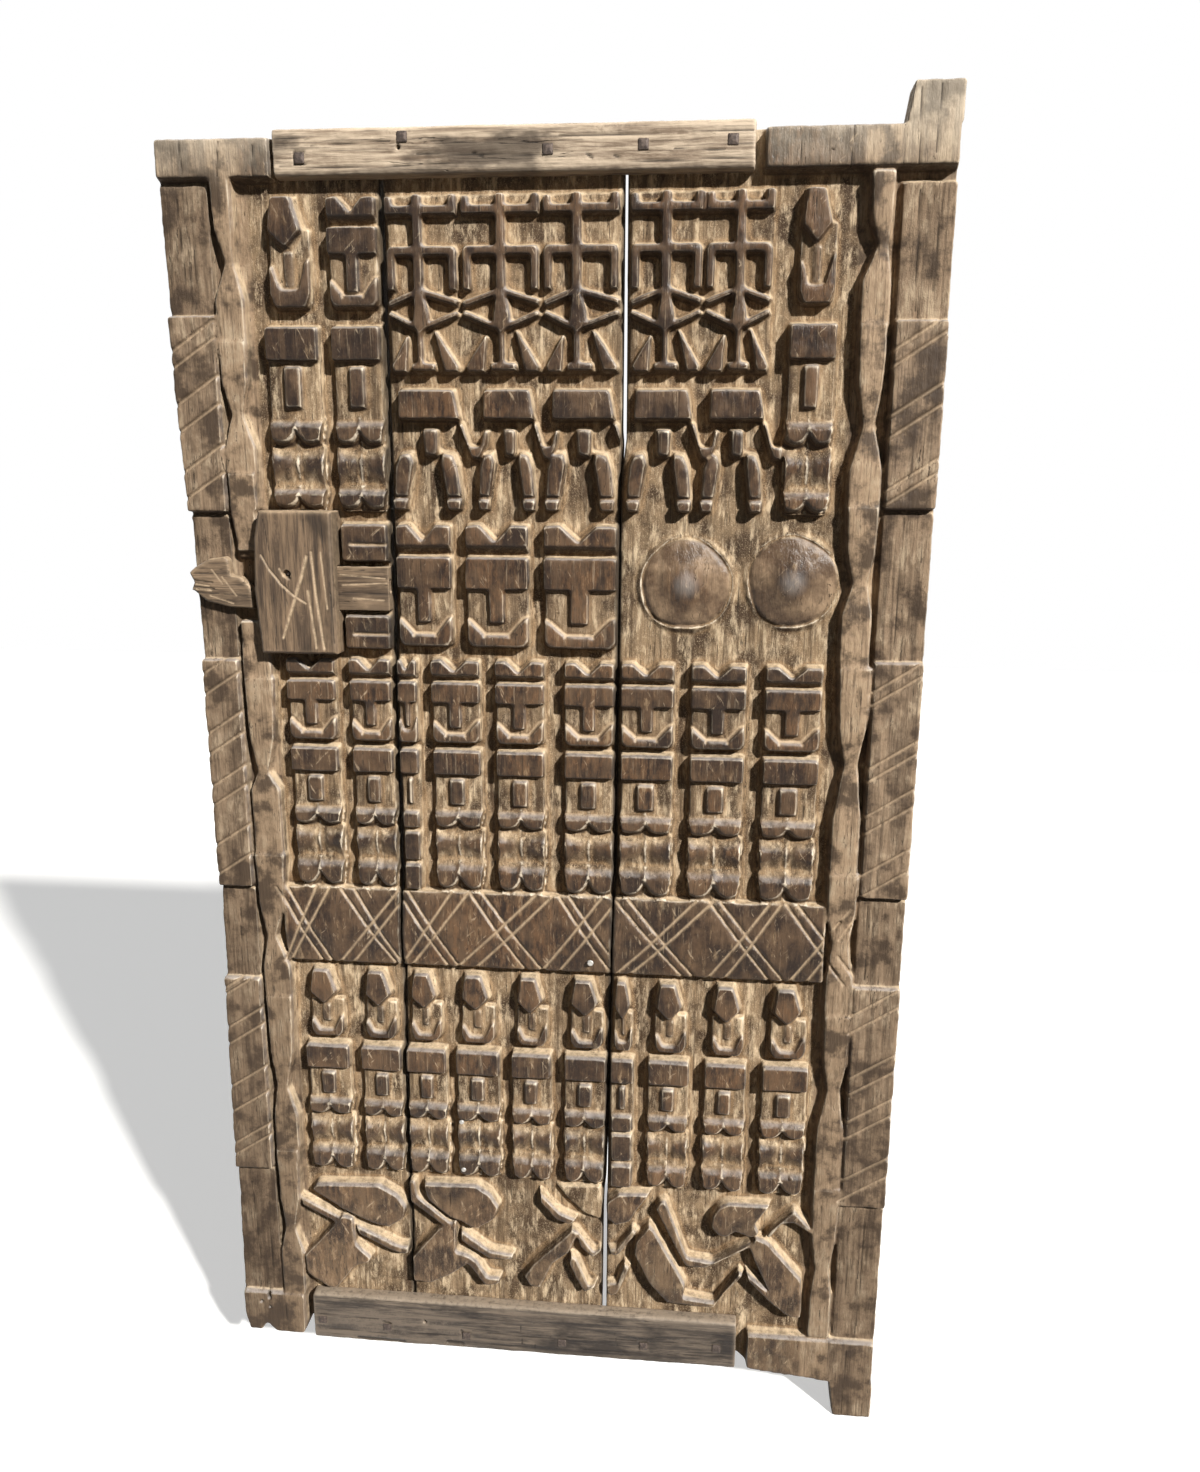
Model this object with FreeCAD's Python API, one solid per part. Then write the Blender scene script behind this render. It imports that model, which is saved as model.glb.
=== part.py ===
import FreeCAD, Part
import math
import os

# Carved wooden granary door: three planks held by two nailed battens, with a sliding bolt lock.
# Millimetres. The swing axis of the door pivots is the Z axis, Z is 0 at the foot of the
# lower pivot, X runs to the right seen from the carved side, and the carved side looks to -Y.

# Planks
LEFT_PLANK_WIDTH = 243.0
MIDDLE_PLANK_WIDTH = 260.0
RIGHT_PLANK_WIDTH = 339.0
SEAM_GAP = 4.0
BODY_HEIGHT = 1500.0
RIGHT_PLANK_DROP = 12.0
GROUND_THICKNESS = 30.0
RELIEF_DEPTH = 18.0

# Pivots
PIVOT_WIDTH = 50.0
PIVOT_ROOT_WIDTH = 56.0
LOWER_PIVOT_LENGTH = 50.0
UPPER_PIVOT_LENGTH = 38.0
PIVOT_BACK_RADIUS = 15.0

# Side borders and twisted strips
BORDER_WIDTH = 57.0
STRIP_WIDTH = 38.0
STRIP_FLARE = 2.0
TOP_BLOCK_HEIGHT = 43.0
HATCH_WIDTH = 6.0
HATCH_DEPTH = 3.0
HATCH_SLOPE_SHARE = 0.68

# Rows of carving: drop of the row's top edge from the door's top, and the row's height
LATTICE_DROP = 58.0
LATTICE_HEIGHT = 184.0
RIDER_DROP = 254.0
RIDER_HEIGHT = 136.0
UPPER_ROW_DROP = 58.0
UPPER_ROW_HEIGHT = 334.0
MASK_DROP = 402.0
MASK_HEIGHT = 143.0
EARED_ROW_DROP = 558.0
EARED_ROW_HEIGHT = 290.0
BAND_DROP = 848.0
BAND_HEIGHT = 98.0
ROUND_ROW_DROP = 955.0
ROUND_ROW_HEIGHT = 290.0
CROUCH_DROP = 1240.0
CROUCH_SIDE = 200.0
DOME_DROP = 467.0
DOME_RADIUS = 57.0
LATTICE_STROKE = 14.0
BAND_GROOVE_WIDTH = 5.0
BAND_GROOVE_DEPTH = 3.0

# Battens
TOP_BATTEN_LENGTH = 510.0
TOP_BATTEN_HEIGHT = 48.0
TOP_BATTEN_START = 133.0
TOP_BATTEN_RISE = 6.0
BOTTOM_BATTEN_LENGTH = 571.0
BOTTOM_BATTEN_HEIGHT = 70.0
BOTTOM_BATTEN_START = 99.0
BOTTOM_BATTEN_OVERHANG = 2.0
BATTEN_THICKNESS = 19.0
BATTEN_CLEARANCE = 0.5
TOP_LEFT_GAP = 3.0
TOP_RIGHT_GAP = 9.0
BOTTOM_LEFT_GAP = 11.0
BOTTOM_RIGHT_GAP = 13.0
BATTEN_ROUNDING = 6.0

# Forged nails and tacks
NAIL_SIDE = 5.0
NAIL_HEAD_SIDE = 11.0
NAIL_HEAD_HEIGHT = 2.5
NAIL_CLENCH_LENGTH = 16.0
NAIL_CLENCH_THICKNESS = 2.5
NAIL_CLEARANCE = 0.05
TACK_HEAD_RADIUS = 4.5
TACK_HEAD_HEIGHT = 1.5
TACK_HEAD_SIDES = 8
TACK_SHANK_SIDE = 2.2
TACK_FLARE = 1.0
TACK_SHANK_LENGTH = 14.0
TACK_CLEARANCE = 0.05

# Lock case
CASE_DROP = 390.0
CASE_HEIGHT = 163.0
CASE_START = 88.0
CASE_WIDTH = 95.0
CASE_THICKNESS = 34.0
CASE_CORNER = 3.0
CASE_SPIKE_SIDE = 5.5
CASE_SPIKE_BITE = 20.0
CASE_SPIKE_HEAD_SIDE = 14.0
CASE_SPIKE_HEAD_HEIGHT = 3.0
CASE_HOLE_RADIUS = 4.5
CASE_HOLE_DEPTH = 7.0
CASE_NAIL_SIDE = 3.5
CASE_NAIL_STAND = 2.0
CASE_NAIL_BITE = 5.0

# Lock bolt, its guide blocks and the tumblers that drop into it
BOLT_DROP = 453.0
BOLT_HEIGHT = 50.0
BOLT_START = 6.0
BOLT_END_GAP = 1.0
BOLT_TRAVEL = 55.0
BOLT_THIN_THICKNESS = 9.0
BOLT_THICK_START = 116.0
BOLT_HEAD_END = 82.0
BOLT_NECK_END = 92.0
BOLT_NECK_SETBACK = 4.0
BOLT_HEAD_GAP = 16.0
BOLT_CORNER = 1.5
BOLT_HEAD_RISE = 3.0
BOLT_CLEARANCE = 0.3
BORDER_RECESS_SHARE = 0.5
GUIDE_GAP = 4.5
UPPER_GUIDE_HEIGHT = 45.0
LOWER_GUIDE_HEIGHT = 42.0
GUIDE_START = 186.0
GUIDE_LINE_SHARES = (0.46, 0.55)
GUIDE_LINE_SPAN_SHARES = (0.22, 0.94)
KEY_CHANNEL_LEAD = 11.0
KEY_CHANNEL_HEIGHT = 14.0
KEY_CHANNEL_DEPTH = 9.0
KEY_CHANNEL_DROP = 15.0
TUMBLER_SIDE = 8.0
TUMBLER_HEAD_SIDE = 11.0
TUMBLER_HEAD_HEIGHT = 5.0
TUMBLER_DROP = 14.0
TUMBLER_LIFT = 12.0
TUMBLER_FIT = 0.08
TUMBLER_PITCH = 19.0
FIRST_TUMBLER_OFFSET = 127.0
TUMBLER_NAMES = ("tumbler_left", "tumbler_middle", "tumbler_right")
SHOULDER_HEIGHT = 13.0
SOCKET_CLEARANCE = 0.4

# Depth to which carved forms run into the plank, and overrun of every cutting tool
ROOT_DEPTH = 1.5
OVERRUN = 2.0

# Edge bevels of the carved forms: left, right, upper and lower, as shares of the relief depth
BLOCK_BEVEL_SHARES = (0.08, 0.08, 0.18, 0.08)
EARS_BEVEL_SHARES = (0.10, 0.10, 0.20, 0.80)
BROW_BEVEL_SHARES = (0.06, 0.06, 0.12, 0.06)
SHELF_BEVEL_SHARES = (0.10, 0.10, 0.48, 0.10)
CROWN_BEVEL_SHARES = (0.26, 0.26, 0.20, 0.40)
STEM_BEVEL_SHARES = (0.22, 0.08, 0.14, 0.20)
LIMB_BEVEL_SHARES = (0.16, 0.16, 0.30, 0.10)
STROKE_BEVEL_SHARES = (0.13, 0.13, 0.13, 0.13)
NO_BEVEL_SHARES = ()
EDGE_KEPT_SHARE = 0.15
BEVEL_STEP_SHARE = 0.85

# Outline of each plank: share of the plank's width and share of the body's height
LEFT_OUTLINE_SHARES = (
    (0, 0), (1, 0), (.998, .267), (.984, .567), (.969, .74), (.959, .987), (.362, .987),
    (.346, .998), (.185, .998), (.136, .989), (.099, .997), (.033, .997), (0, .973),
    (.016, .83), (.037, .647), (.045, .567), (.045, .373), (.037, .267), (.016, .167))
MIDDLE_OUTLINE_SHARES = (
    (0, 0), (1, 0), (1, .207), (.994, .233), (.981, .567), (.958, .74), (.94, .867),
    (.935, .993), (-.042, .993), (-.033, .74), (-.019, .567), (-.004, .267))
RIGHT_OUTLINE_SHARES = (
    (0, 0), (1, 0), (1, 1), (.84, 1.006), (.51, 1), (.475, .993), (-.044, .993),
    (-.041, .953), (-.041, .867), (-.0385, .74), (-.0215, .567), (-.0115, .233), (.003, .207))

# Side borders, from the top: share of the body's height where each field starts, and if hatched
LEFT_FIELD_SHARES = (
    (.029, False), (.119, True), (.263, False), (.375, True), (.567, False), (.647, True),
    (.831, False))
RIGHT_FIELD_SHARES = (
    (.035, False), (.125, True), (.257, False), (.367, True), (.557, False), (.631, True),
    (.833, False))
BORDER_END_SHARES = (.956, .965)

# Grooves of the hatched fields: share of the body's height at the groove's lower left end
LEFT_HATCH_SHARES = (
    .148, .160, .187, .207, .237, .257, .394, .411, .443, .460, .487, .503, .537, .562,
    .663, .669, .700, .715, .755, .779, .810, .821)
RIGHT_HATCH_SHARES = (
    .148, .159, .193, .208, .245, .255, .393, .403, .453, .463, .491, .505, .539, .557,
    .658, .673, .715, .730, .755, .770, .809, .827)

# Twisted strips: start, waist, flare and end of each facet as shares of the body's height,
# then the left and right edge at the start, the waist and the end as shares of the strip's width
LEFT_STRIP_SHARES = (
    ((.027, .083, .110, .137), (.08, .66), (.36, .60), (.02, .85)),
    ((.138, .190, .214, .233), (.02, .85), (.26, .60), (.03, .92)),
    ((.233, .285, .290, .297), (.05, .88), (.16, .82), (.18, .80)),
    ((.345, .362, .378, .390), (.14, .72), (.10, .90), (.10, 1.0)),
    ((.390, .468, .482, .536), (.12, 1.06), (.32, .66), (.10, 1.02)),
    ((.537, .610, .636, .663), (.07, 1.05), (.28, .56), (.10, 1.0)),
    ((.663, .750, .777, .810), (.12, 1.0), (.26, .62), (.12, .92)),
    ((.810, .890, .912, .957), (.12, .88), (.24, .56), (.04, .82)))
RIGHT_STRIP_SHARES = (
    ((.030, .077, .100, .128), (.20, .82), (.48, .72), (.08, .85)),
    ((.128, .197, .228, .254), (.08, .85), (.34, .64), (.02, .92)),
    ((.254, .310, .333, .372), (.02, .92), (.30, .72), (.03, .88)),
    ((.373, .449, .493, .536), (.06, .98), (.34, .74), (.08, .92)),
    ((.537, .597, .627, .658), (.06, .98), (.30, .78), (.16, .98)),
    ((.658, .727, .760, .816), (.18, 1.0), (.40, .80), (.14, .94)),
    ((.817, .897, .925, .964), (.12, 1.0), (.34, .80), (.20, .92)))
STRIP_RISE_SHARES = (1.0, .92, .72, .90, .84)
STRIP_SHOULDER_SHARES = (.62, .25)

# Outlines of the parts of a figure in a unit square, across and down
SQUARE_SHARES = ((0, 0), (1, 0), (1, 1), (0, 1))
EARS_SHARES = ((0, .05), (.24, 0), (.48, .50), (.70, .03), (1, .05), (1, 1), (0, 1))
ROUND_HEAD_SHARES = ((.12, 0), (.74, 0), (1, .68), (.60, 1), (.40, 1), (0, .70))
JAW_SHARES = (
    (0, .05), (.10, .14), (.32, .50), (.66, .50), (.88, .08), (1, 0), (1, .84), (.92, 1),
    (.08, 1), (0, .84))
CHIN_SHARES = (
    (0, .30), (.13, .32), (.30, .64), (.66, .64), (.84, .24), (1, .20), (1, .82), (.88, 1),
    (.12, 1), (0, .82))

# Parts of a figure: level, outline, span across the figure, share of the full relief, bevels
EARED_FACE_SHARES = (
    ("face", SQUARE_SHARES, (.02, .98), .56, NO_BEVEL_SHARES),
    ("ears", EARS_SHARES, (0, 1), .95, EARS_BEVEL_SHARES),
    ("brow", SQUARE_SHARES, (0, 1), 1, BROW_BEVEL_SHARES),
    ("nose", SQUARE_SHARES, (.36, .62), .95, BROW_BEVEL_SHARES),
    ("jaw", JAW_SHARES, (0, 1), .90, SHELF_BEVEL_SHARES))
ROUND_FACE_SHARES = (
    ("face", SQUARE_SHARES, (.16, .90), .48, NO_BEVEL_SHARES),
    ("head", ROUND_HEAD_SHARES, (.13, .84), 1, CROWN_BEVEL_SHARES),
    ("peg", SQUARE_SHARES, (.38, .62), .70, STEM_BEVEL_SHARES),
    ("chin", CHIN_SHARES, (.14, .92), .85, SHELF_BEVEL_SHARES))
TRUNK_SHARES = (
    ("torso", SQUARE_SHARES, (0, 1), 1, BLOCK_BEVEL_SHARES),
    ("belly", SQUARE_SHARES, (.02, .98), .50, NO_BEVEL_SHARES),
    ("stem", SQUARE_SHARES, (.28, .66), .90, STEM_BEVEL_SHARES))

# Pair of legs: each stretch is one lobed block that dips to a point on its middle line
LOBED_SHARES = (
    (0, 0, .95), (.50, 0, .60), (1, 0, .95), (.92, 1, .95), (.50, 1, .48), (.08, 1, .95))
SADDLE_SHARES = (
    (0, 0, .70), (.50, 0, .50), (1, 0, .70), (.96, 1, .90), (.50, 1, .48), (.04, 1, .90))
LEG_SHARES = (
    ("knee", LOBED_SHARES, (.50, .52, .34)),
    ("thigh", SADDLE_SHARES, (.50, .55, .18)),
    ("foot", LOBED_SHARES, (.50, .55, .34)))
NARROW_LEG_SHARES = (
    ("knee", SQUARE_SHARES, (0, 1), .95, LIMB_BEVEL_SHARES),
    ("thigh", SQUARE_SHARES, (0, 1), .86, LIMB_BEVEL_SHARES),
    ("foot", SQUARE_SHARES, (0, 1), .95, LIMB_BEVEL_SHARES))
KINDS = {
    "eared": (EARED_FACE_SHARES + TRUNK_SHARES, LEG_SHARES),
    "narrow_eared": (EARED_FACE_SHARES + TRUNK_SHARES + NARROW_LEG_SHARES, ()),
    "round": (ROUND_FACE_SHARES + TRUNK_SHARES, LEG_SHARES),
    "narrow_round": (ROUND_FACE_SHARES + TRUNK_SHARES + NARROW_LEG_SHARES, ()),
    "mask": (EARED_FACE_SHARES, ())}

# Top and bottom of each part as shares of its row's height
UPPER_LEVEL_SHARES = {
    "head": (0, .170), "peg": (.165, .285), "chin": (.125, .345),
    "ears": (0, .095), "brow": (.094, .185), "nose": (.180, .300), "jaw": (.225, .345),
    "face": (.100, .330), "torso": (.395, .512), "belly": (.500, .700), "stem": (.522, .668),
    "knee": (.695, .783), "thigh": (.783, .918), "foot": (.918, .996)}
EARED_LEVEL_SHARES = {
    "ears": (0, .094), "brow": (.093, .182), "nose": (.175, .285), "jaw": (.225, .352),
    "face": (.120, .345), "torso": (.372, .484), "belly": (.470, .640), "stem": (.496, .622),
    "knee": (.632, .720), "thigh": (.720, .862), "foot": (.862, .992)}
ROUND_LEVEL_SHARES = {
    "head": (0, .175), "peg": (.165, .262), "chin": (.165, .325), "face": (.150, .300),
    "torso": (.355, .476), "belly": (.460, .630), "stem": (.488, .612),
    "knee": (.620, .714), "thigh": (.714, .862), "foot": (.862, .990)}
MASK_LEVEL_SHARES = {
    "ears": (0, .262), "brow": (.262, .530), "nose": (.520, .800), "jaw": (.690, 1),
    "face": (.300, .980)}

# Standing figures: row, kind of figure, and left and right edge as shares of the plank's width
LEFT_FIGURE_SHARES = (
    ("upper", "round", .453, .708), ("upper", "eared", .765, .998),
    ("eared", "eared", .461, .708), ("eared", "eared", .774, .985),
    ("round", "round", .449, .685), ("round", "round", .745, .965))
MIDDLE_FIGURE_SHARES = (
    ("masks", "mask", .012, .262), ("masks", "mask", .319, .604), ("masks", "mask", .665, .992),
    ("eared", "narrow_eared", -.004, .088), ("eared", "eared", .150, .377),
    ("eared", "eared", .442, .669), ("eared", "eared", .754, .985),
    ("round", "round", -.027, .175), ("round", "round", .217, .438),
    ("round", "round", .492, .692), ("round", "round", .750, .962))
RIGHT_FIGURE_SHARES = (
    ("upper", "round", .513, .664),
    ("eared", "eared", -.006, .180), ("eared", "eared", .233, .423),
    ("eared", "eared", .481, .676),
    ("round", "narrow_round", -.032, .060), ("round", "round", .108, .263),
    ("round", "round", .315, .472), ("round", "round", .525, .696))

# Lattice units: left edge, middle and right edge as shares of the plank's width
MIDDLE_LATTICE_SHARES = ((.012, .150, .322), (.327, .496, .664), (.669, .811, .996))
RIGHT_LATTICE_SHARES = ((.009, .124, .242), (.245, .354, .457))

# Strokes of one lattice unit: each end's place across and down the unit, and its width as a
# share of the stroke's width
LATTICE_STROKE_SHARES = (
    ((0, .095), (1, .095), .9), ((.5, 0), (.5, .56), .95), ((.07, .01), (.07, .13), .85),
    ((.93, 0), (.93, .13), .85), ((.03, .315), (.97, .315), .9),
    ((.08, .30), (.08, .54), .85), ((.92, .30), (.92, .54), .85),
    ((0, .615), (.5, .535), .75), ((1, .605), (.5, .535), .75),
    ((0, .655), (.46, .74), .7), ((1, .655), (.54, .74), .7),
    ((.5, .76), (.5, .95), .65), ((.34, .96), (.70, .96), .75))
LATTICE_BLOCK_SHARES = (
    (((.42, .54), (.58, .54), (.64, .67), (.63, .745), (.54, .79), (.46, .79), (.38, .745),
      (.38, .67)), 1),
    (((.64, .75), (.72, .75), (1, .96), (.98, 1), (.78, 1)), .85),
    (((.28, .78), (.34, .78), (.30, 1), (.06, 1), (.02, .96)), .85))
LATTICE_RISE_SHARE = .92
LEDGE_SPAN_SHARES = (.012, .996)
RIGHT_LEDGE_SPAN_SHARES = (.009, .457)
LEDGE_RISE_SHARE = .28

# Riders: left and right edge of the bar as shares of the plank's width
MIDDLE_RIDER_SHARES = ((.042, .300), (.408, .623), (.704, .962))
RIGHT_RIDER_SHARES = ((.027, .209), (.268, .440))

# Parts of one rider: outline shares of a cell as wide as the bar and as high as the row, share
# of the full relief and edge bevels
RIDER_SHARES = (
    (((.02, .02), (.96, .02), (1.06, .27), (0, .27)), 1, BLOCK_BEVEL_SHARES),
    (((.37, .33), (.67, .33), (.67, .55), (.62, .58), (.40, .56)), .9, STEM_BEVEL_SHARES),
    (((.98, .29), (1.10, .28), (1.22, .47), (1.36, .47), (1.43, .34), (1.54, .34), (1.50, .48),
      (1.38, .59), (1.20, .575)), .85, STROKE_BEVEL_SHARES),
    (((-.02, .52), (.22, .50), (.28, .60), (.18, .885), (-.13, .885), (-.10, .62)), .9,
     LIMB_BEVEL_SHARES),
    (((.70, .50), (.94, .52), (1.02, .62), (1.08, .885), (.77, .885), (.67, .60)), .9,
     LIMB_BEVEL_SHARES),
    (((-.15, .885), (.16, .885), (.12, .995), (-.11, .995)), .95, BLOCK_BEVEL_SHARES),
    (((.76, .885), (1.08, .885), (1.05, .995), (.80, .995)), .95, BLOCK_BEVEL_SHARES))

# Domes of the right plank: middle and half width as shares of the plank's width, and the
# shift down as a share of the dome's radius
DOME_SHARES = ((.209, .171, .04), (.560, .162, -.03))
DOME_LEVEL_SHARES = ((1.0, 0), (.86, .42), (.55, .78), (.22, .97))
DOME_SIDES = 18

# Lozenge band: cross lines as shares of the plank's width at the band's top and bottom edges
LEFT_BAND_SHARES = ((.55, .37), (.62, .40), (.68, .96), (.75, .99), (.40, .62), (.35, .57),
                    (.98, .66), (1.04, .73))
MIDDLE_BAND_SHARES = (
    (.01, .25), (-.04, .20), (.22, -.03), (.30, .02), (.31, .57), (.37, .65), (.62, .24),
    (.70, .33), (.73, .98), (.78, 1.04), (.93, .65), (1.01, .73))
RIGHT_BAND_SHARES = (
    (-.02, .23), (.03, .27), (.27, -.01), (.33, .04), (.32, .54), (.36, .59), (.53, .32),
    (.57, .38), (.59, .80), (.63, .86), (.81, .61), (.85, .67))
MIDDLE_BAND_SPAN_SHARES = (-.10, 1.10)
BAND_CREST_SHARE = .55
BAND_EDGE_RISE_SHARE = .70
LEFT_BAND_SPAN_SHARES = (.38, 1.0)
RIGHT_BAND_SPAN_SHARES = (-.03, .727)

# Crouching figures: outlines in a square, across and down, with the share of the full relief
LEFT_CROUCH_SHARES = (
    (((.09, .16), (.13, .11), (.57, .09), (.69, .16), (.75, .25), (.73, .34), (.63, .42),
      (.53, .40), (.40, .35), (.32, .31)), 1.0),
    (((.02, .22), (.08, .25), (.29, .36), (.30, .45), (.22, .41), (.02, .30)), .8),
    (((.29, .34), (.38, .35), (.39, .55), (.50, .66), (.48, .70), (.38, .74), (.31, .84),
      (.25, .92), (.18, .92), (.03, .82), (.02, .66), (.22, .43)), .95),
    (((.37, .40), (.42, .42), (.69, .55), (.76, .55), (.75, .62), (.66, .62), (.40, .49)), .9))
MIDDLE_CROUCH_SHARES = (
    (((.10, .06), (.47, .05), (.56, .11), (.62, .21), (.58, .31), (.48, .38), (.42, .38),
      (.33, .33), (.27, .31), (.13, .19)), 1.0),
    (((0, .05), (.06, .05), (.07, .16), (.28, .34), (.34, .31), (.33, .39), (.27, .41),
      (.20, .37), (.01, .22)), .85),
    (((.20, .38), (.27, .36), (.33, .37), (.32, .56), (.40, .58), (.46, .62), (.53, .74),
      (.62, .74), (.61, .80), (.50, .82), (.39, .67), (.28, .76), (.14, .83), (.01, .82),
      (.01, .62)), .95),
    (((.34, .40), (.38, .41), (.55, .54), (.71, .56), (.70, .61), (.52, .61), (.34, .49)), .9))
WORN_CROUCH_SHARES = (
    (((.14, .06), (.19, .11), (.29, .22), (.41, .27), (.36, .32), (.25, .29), (.15, .17)), .85),
    (((.24, .04), (.55, .03), (.58, .16), (.55, .29), (.43, .25), (.31, .13)), .45),
    (((.30, .40), (.36, .33), (.42, .36), (.35, .53), (.24, .62), (.16, .81), (.07, .80),
      (.03, .72), (.10, .61)), .9),
    (((.35, .53), (.40, .56), (.48, .76), (.54, .73), (.52, .79), (.44, .84), (.38, .73),
      (.33, .61)), .8),
    (((.37, .34), (.41, .36), (.51, .50), (.58, .45), (.58, .49), (.50, .56), (.41, .48)), .8))
SEATED_CROUCH_SHARES = (
    (((.01, .11), (.08, .05), (.31, .04), (.21, .19), (.18, .26), (.07, .30), (.01, .25)), .95),
    (((.35, .09), (.40, .08), (.55, .49), (.70, .51), (.95, .34), (.96, .39), (.73, .54),
      (.66, .57), (.53, .57), (.47, .47), (.32, .15)), .95),
    (((.19, .50), (.20, .39), (.29, .26), (.33, .30), (.54, .70), (.53, .79), (.72, .81),
      (.88, .56), (.92, .60), (.80, .74), (.73, .86), (.41, .85), (.28, .70)), 1.0),
    (((.18, .30), (.23, .34), (.10, .53), (.04, .53), (.01, .47), (.07, .47)), .8),
    (((.13, .56), (.18, .61), (.10, .82), (.04, .85), (.01, .82), (.01, .73), (.08, .73)), .8))
RECLINING_CROUCH_SHARES = (
    (((.04, .17), (.08, .10), (.14, .07), (.43, .07), (.33, .22), (.36, .29), (.30, .33),
      (.20, .29), (.15, .33), (.08, .32), (.03, .26)), .95),
    (((.38, .31), (.41, .25), (.54, .11), (.57, .09), (.69, .23), (.69, .29), (.56, .20),
      (.50, .21), (.42, .33)), .9),
    (((.32, .30), (.38, .32), (.42, .34), (.64, .60), (.65, .90), (.55, .89), (.43, .80),
      (.28, .64), (.26, .55), (.40, .67), (.32, .50), (.28, .39)), 1.0))
CROUCH_START_SHARES = (.350, -.046, .512, -.047, .336)

# Nails: place along the batten and down its height as shares
TOP_NAIL_SHARES = ((.059, .62), (.278, .23), (.580, .54), (.775, .48), (.955, .42))
BOTTOM_NAIL_SHARES = ((.023, .55), (.180, .62), (.370, .68), (.597, .68), (.788, .62), (.956, .55))
EMPTY_HOLE_SHARES = ((.268, .44), (.27, .45))
TACK_SHARES = ((.881, .620, 1.0), (.246, .772, .8), (.250, .818, .8))
BATTEN_ROUNDING_SHARES = ((0, 1), (.25, .3), (1, 0))
CASE_SPIKE_SHARES = ((.25, .86), (.75, .86), (.15, .07))
CASE_HOLE_PLACE_SHARES = (.42, .435)
CASE_LEAN_SHARES = ((.10, 0), (1, 0), (1, 1), (.05, 1), (0, .55), (.03, .20))

# Outline of the bolt's worn head: shares of its length up to the case and of the bolt's height
BOLT_HEAD_SHARES = (
    (0, .18), (.10, .05), (.32, -.14), (.58, -.20), (.64, -.14), (.66, .23), (.82, .26),
    (.96, .48), (1, .70), (1, 1), (.60, .97), (.25, .84), (.06, .60), (.02, .58), (.07, .40))

# Levels worked out from the sizes above
FRONT_Y = -(GROUND_THICKNESS + RELIEF_DEPTH) / 2
GROUND_Y = FRONT_Y + RELIEF_DEPTH
BACK_Y = GROUND_Y + GROUND_THICKNESS
TOP_Z = LOWER_PIVOT_LENGTH + RIGHT_PLANK_DROP + BODY_HEIGHT
DOOR_RIGHT = PIVOT_WIDTH / 2
RIGHT_X = DOOR_RIGHT - RIGHT_PLANK_WIDTH
MIDDLE_X = RIGHT_X - SEAM_GAP - MIDDLE_PLANK_WIDTH
LEFT_X = MIDDLE_X - SEAM_GAP - LEFT_PLANK_WIDTH
RECESS_Y = GROUND_Y - BORDER_RECESS_SHARE * RELIEF_DEPTH

BOLT_BACK_Y = GROUND_Y - BOLT_CLEARANCE
BOLT_THIN_BACK_Y = RECESS_Y - BOLT_CLEARANCE
BOLT_FRONT_Y = BOLT_THIN_BACK_Y - BOLT_THIN_THICKNESS
BOLT_TOP_Z = TOP_Z - BOLT_DROP
BOLT_LEFT_X = LEFT_X + BOLT_START
BOLT_RIGHT_X = LEFT_X + LEFT_PLANK_WIDTH - BOLT_END_GAP
TUMBLER_Y = (BOLT_BACK_Y + BOLT_FRONT_Y) / 2
TUMBLER_FOOT_Z = BOLT_TOP_Z + BOLT_CLEARANCE
CASE_FRONT_Y = GROUND_Y - CASE_THICKNESS

PLANKS = {
    "left": (LEFT_X, LEFT_PLANK_WIDTH), "middle": (MIDDLE_X, MIDDLE_PLANK_WIDTH),
    "right": (RIGHT_X, RIGHT_PLANK_WIDTH)}
ROWS = {
    "upper": (UPPER_ROW_DROP, UPPER_ROW_HEIGHT, UPPER_LEVEL_SHARES),
    "masks": (MASK_DROP, MASK_HEIGHT, MASK_LEVEL_SHARES),
    "eared": (EARED_ROW_DROP, EARED_ROW_HEIGHT, EARED_LEVEL_SHARES),
    "round": (ROUND_ROW_DROP, ROUND_ROW_HEIGHT, ROUND_LEVEL_SHARES)}


# Places and outlines

def cell(plank, start, end, drop, height):
    """Box on a plank's face: left, right, top and bottom."""
    left, width = PLANKS[plank]
    return (left + start * width, left + end * width, TOP_Z - drop, TOP_Z - drop - height)


def inner(box, across, down):
    """Box inside another, from shares of its width and height."""
    left, right, top, bottom = box
    width, height = right - left, top - bottom
    return (left + across[0] * width, left + across[1] * width,
            top - down[0] * height, top - down[1] * height)


def outline(box, shares):
    """Points (x, z) of an outline given in a unit square, across and down."""
    left, right, top, bottom = box
    return [(left + s * (right - left), top - t * (top - bottom)) for s, t in shares]


def signed_area(points):
    total = 0.0
    for (ax, az), (bx, bz) in zip(points, points[1:] + points[:1]):
        total += ax * bz - bx * az
    return total / 2


def inset(points, bevels):
    """Outline drawn in by its left, right, upper and lower bevels, with mitred corners."""
    turn = 1 if signed_area(points) > 0 else -1
    left, right, upper, lower = bevels
    lines = []
    for (ax, az), (bx, bz) in zip(points, points[1:] + points[:1]):
        length = math.hypot(bx - ax, bz - az)
        nx, nz = turn * (bz - az) / length, -turn * (bx - ax) / length
        size = (right if nx > 0 else left) * abs(nx) + (upper if nz > 0 else lower) * abs(nz)
        lines.append((nx, nz, nx * ax + nz * az - size))
    corners = []
    for (an, am, ac), (bn, bm, bc) in zip(lines[-1:] + lines[:-1], lines):
        det = an * bm - bn * am
        corners.append(((ac * bm - bc * am) / det, (an * bc - bn * ac) / det))
    return corners


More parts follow.
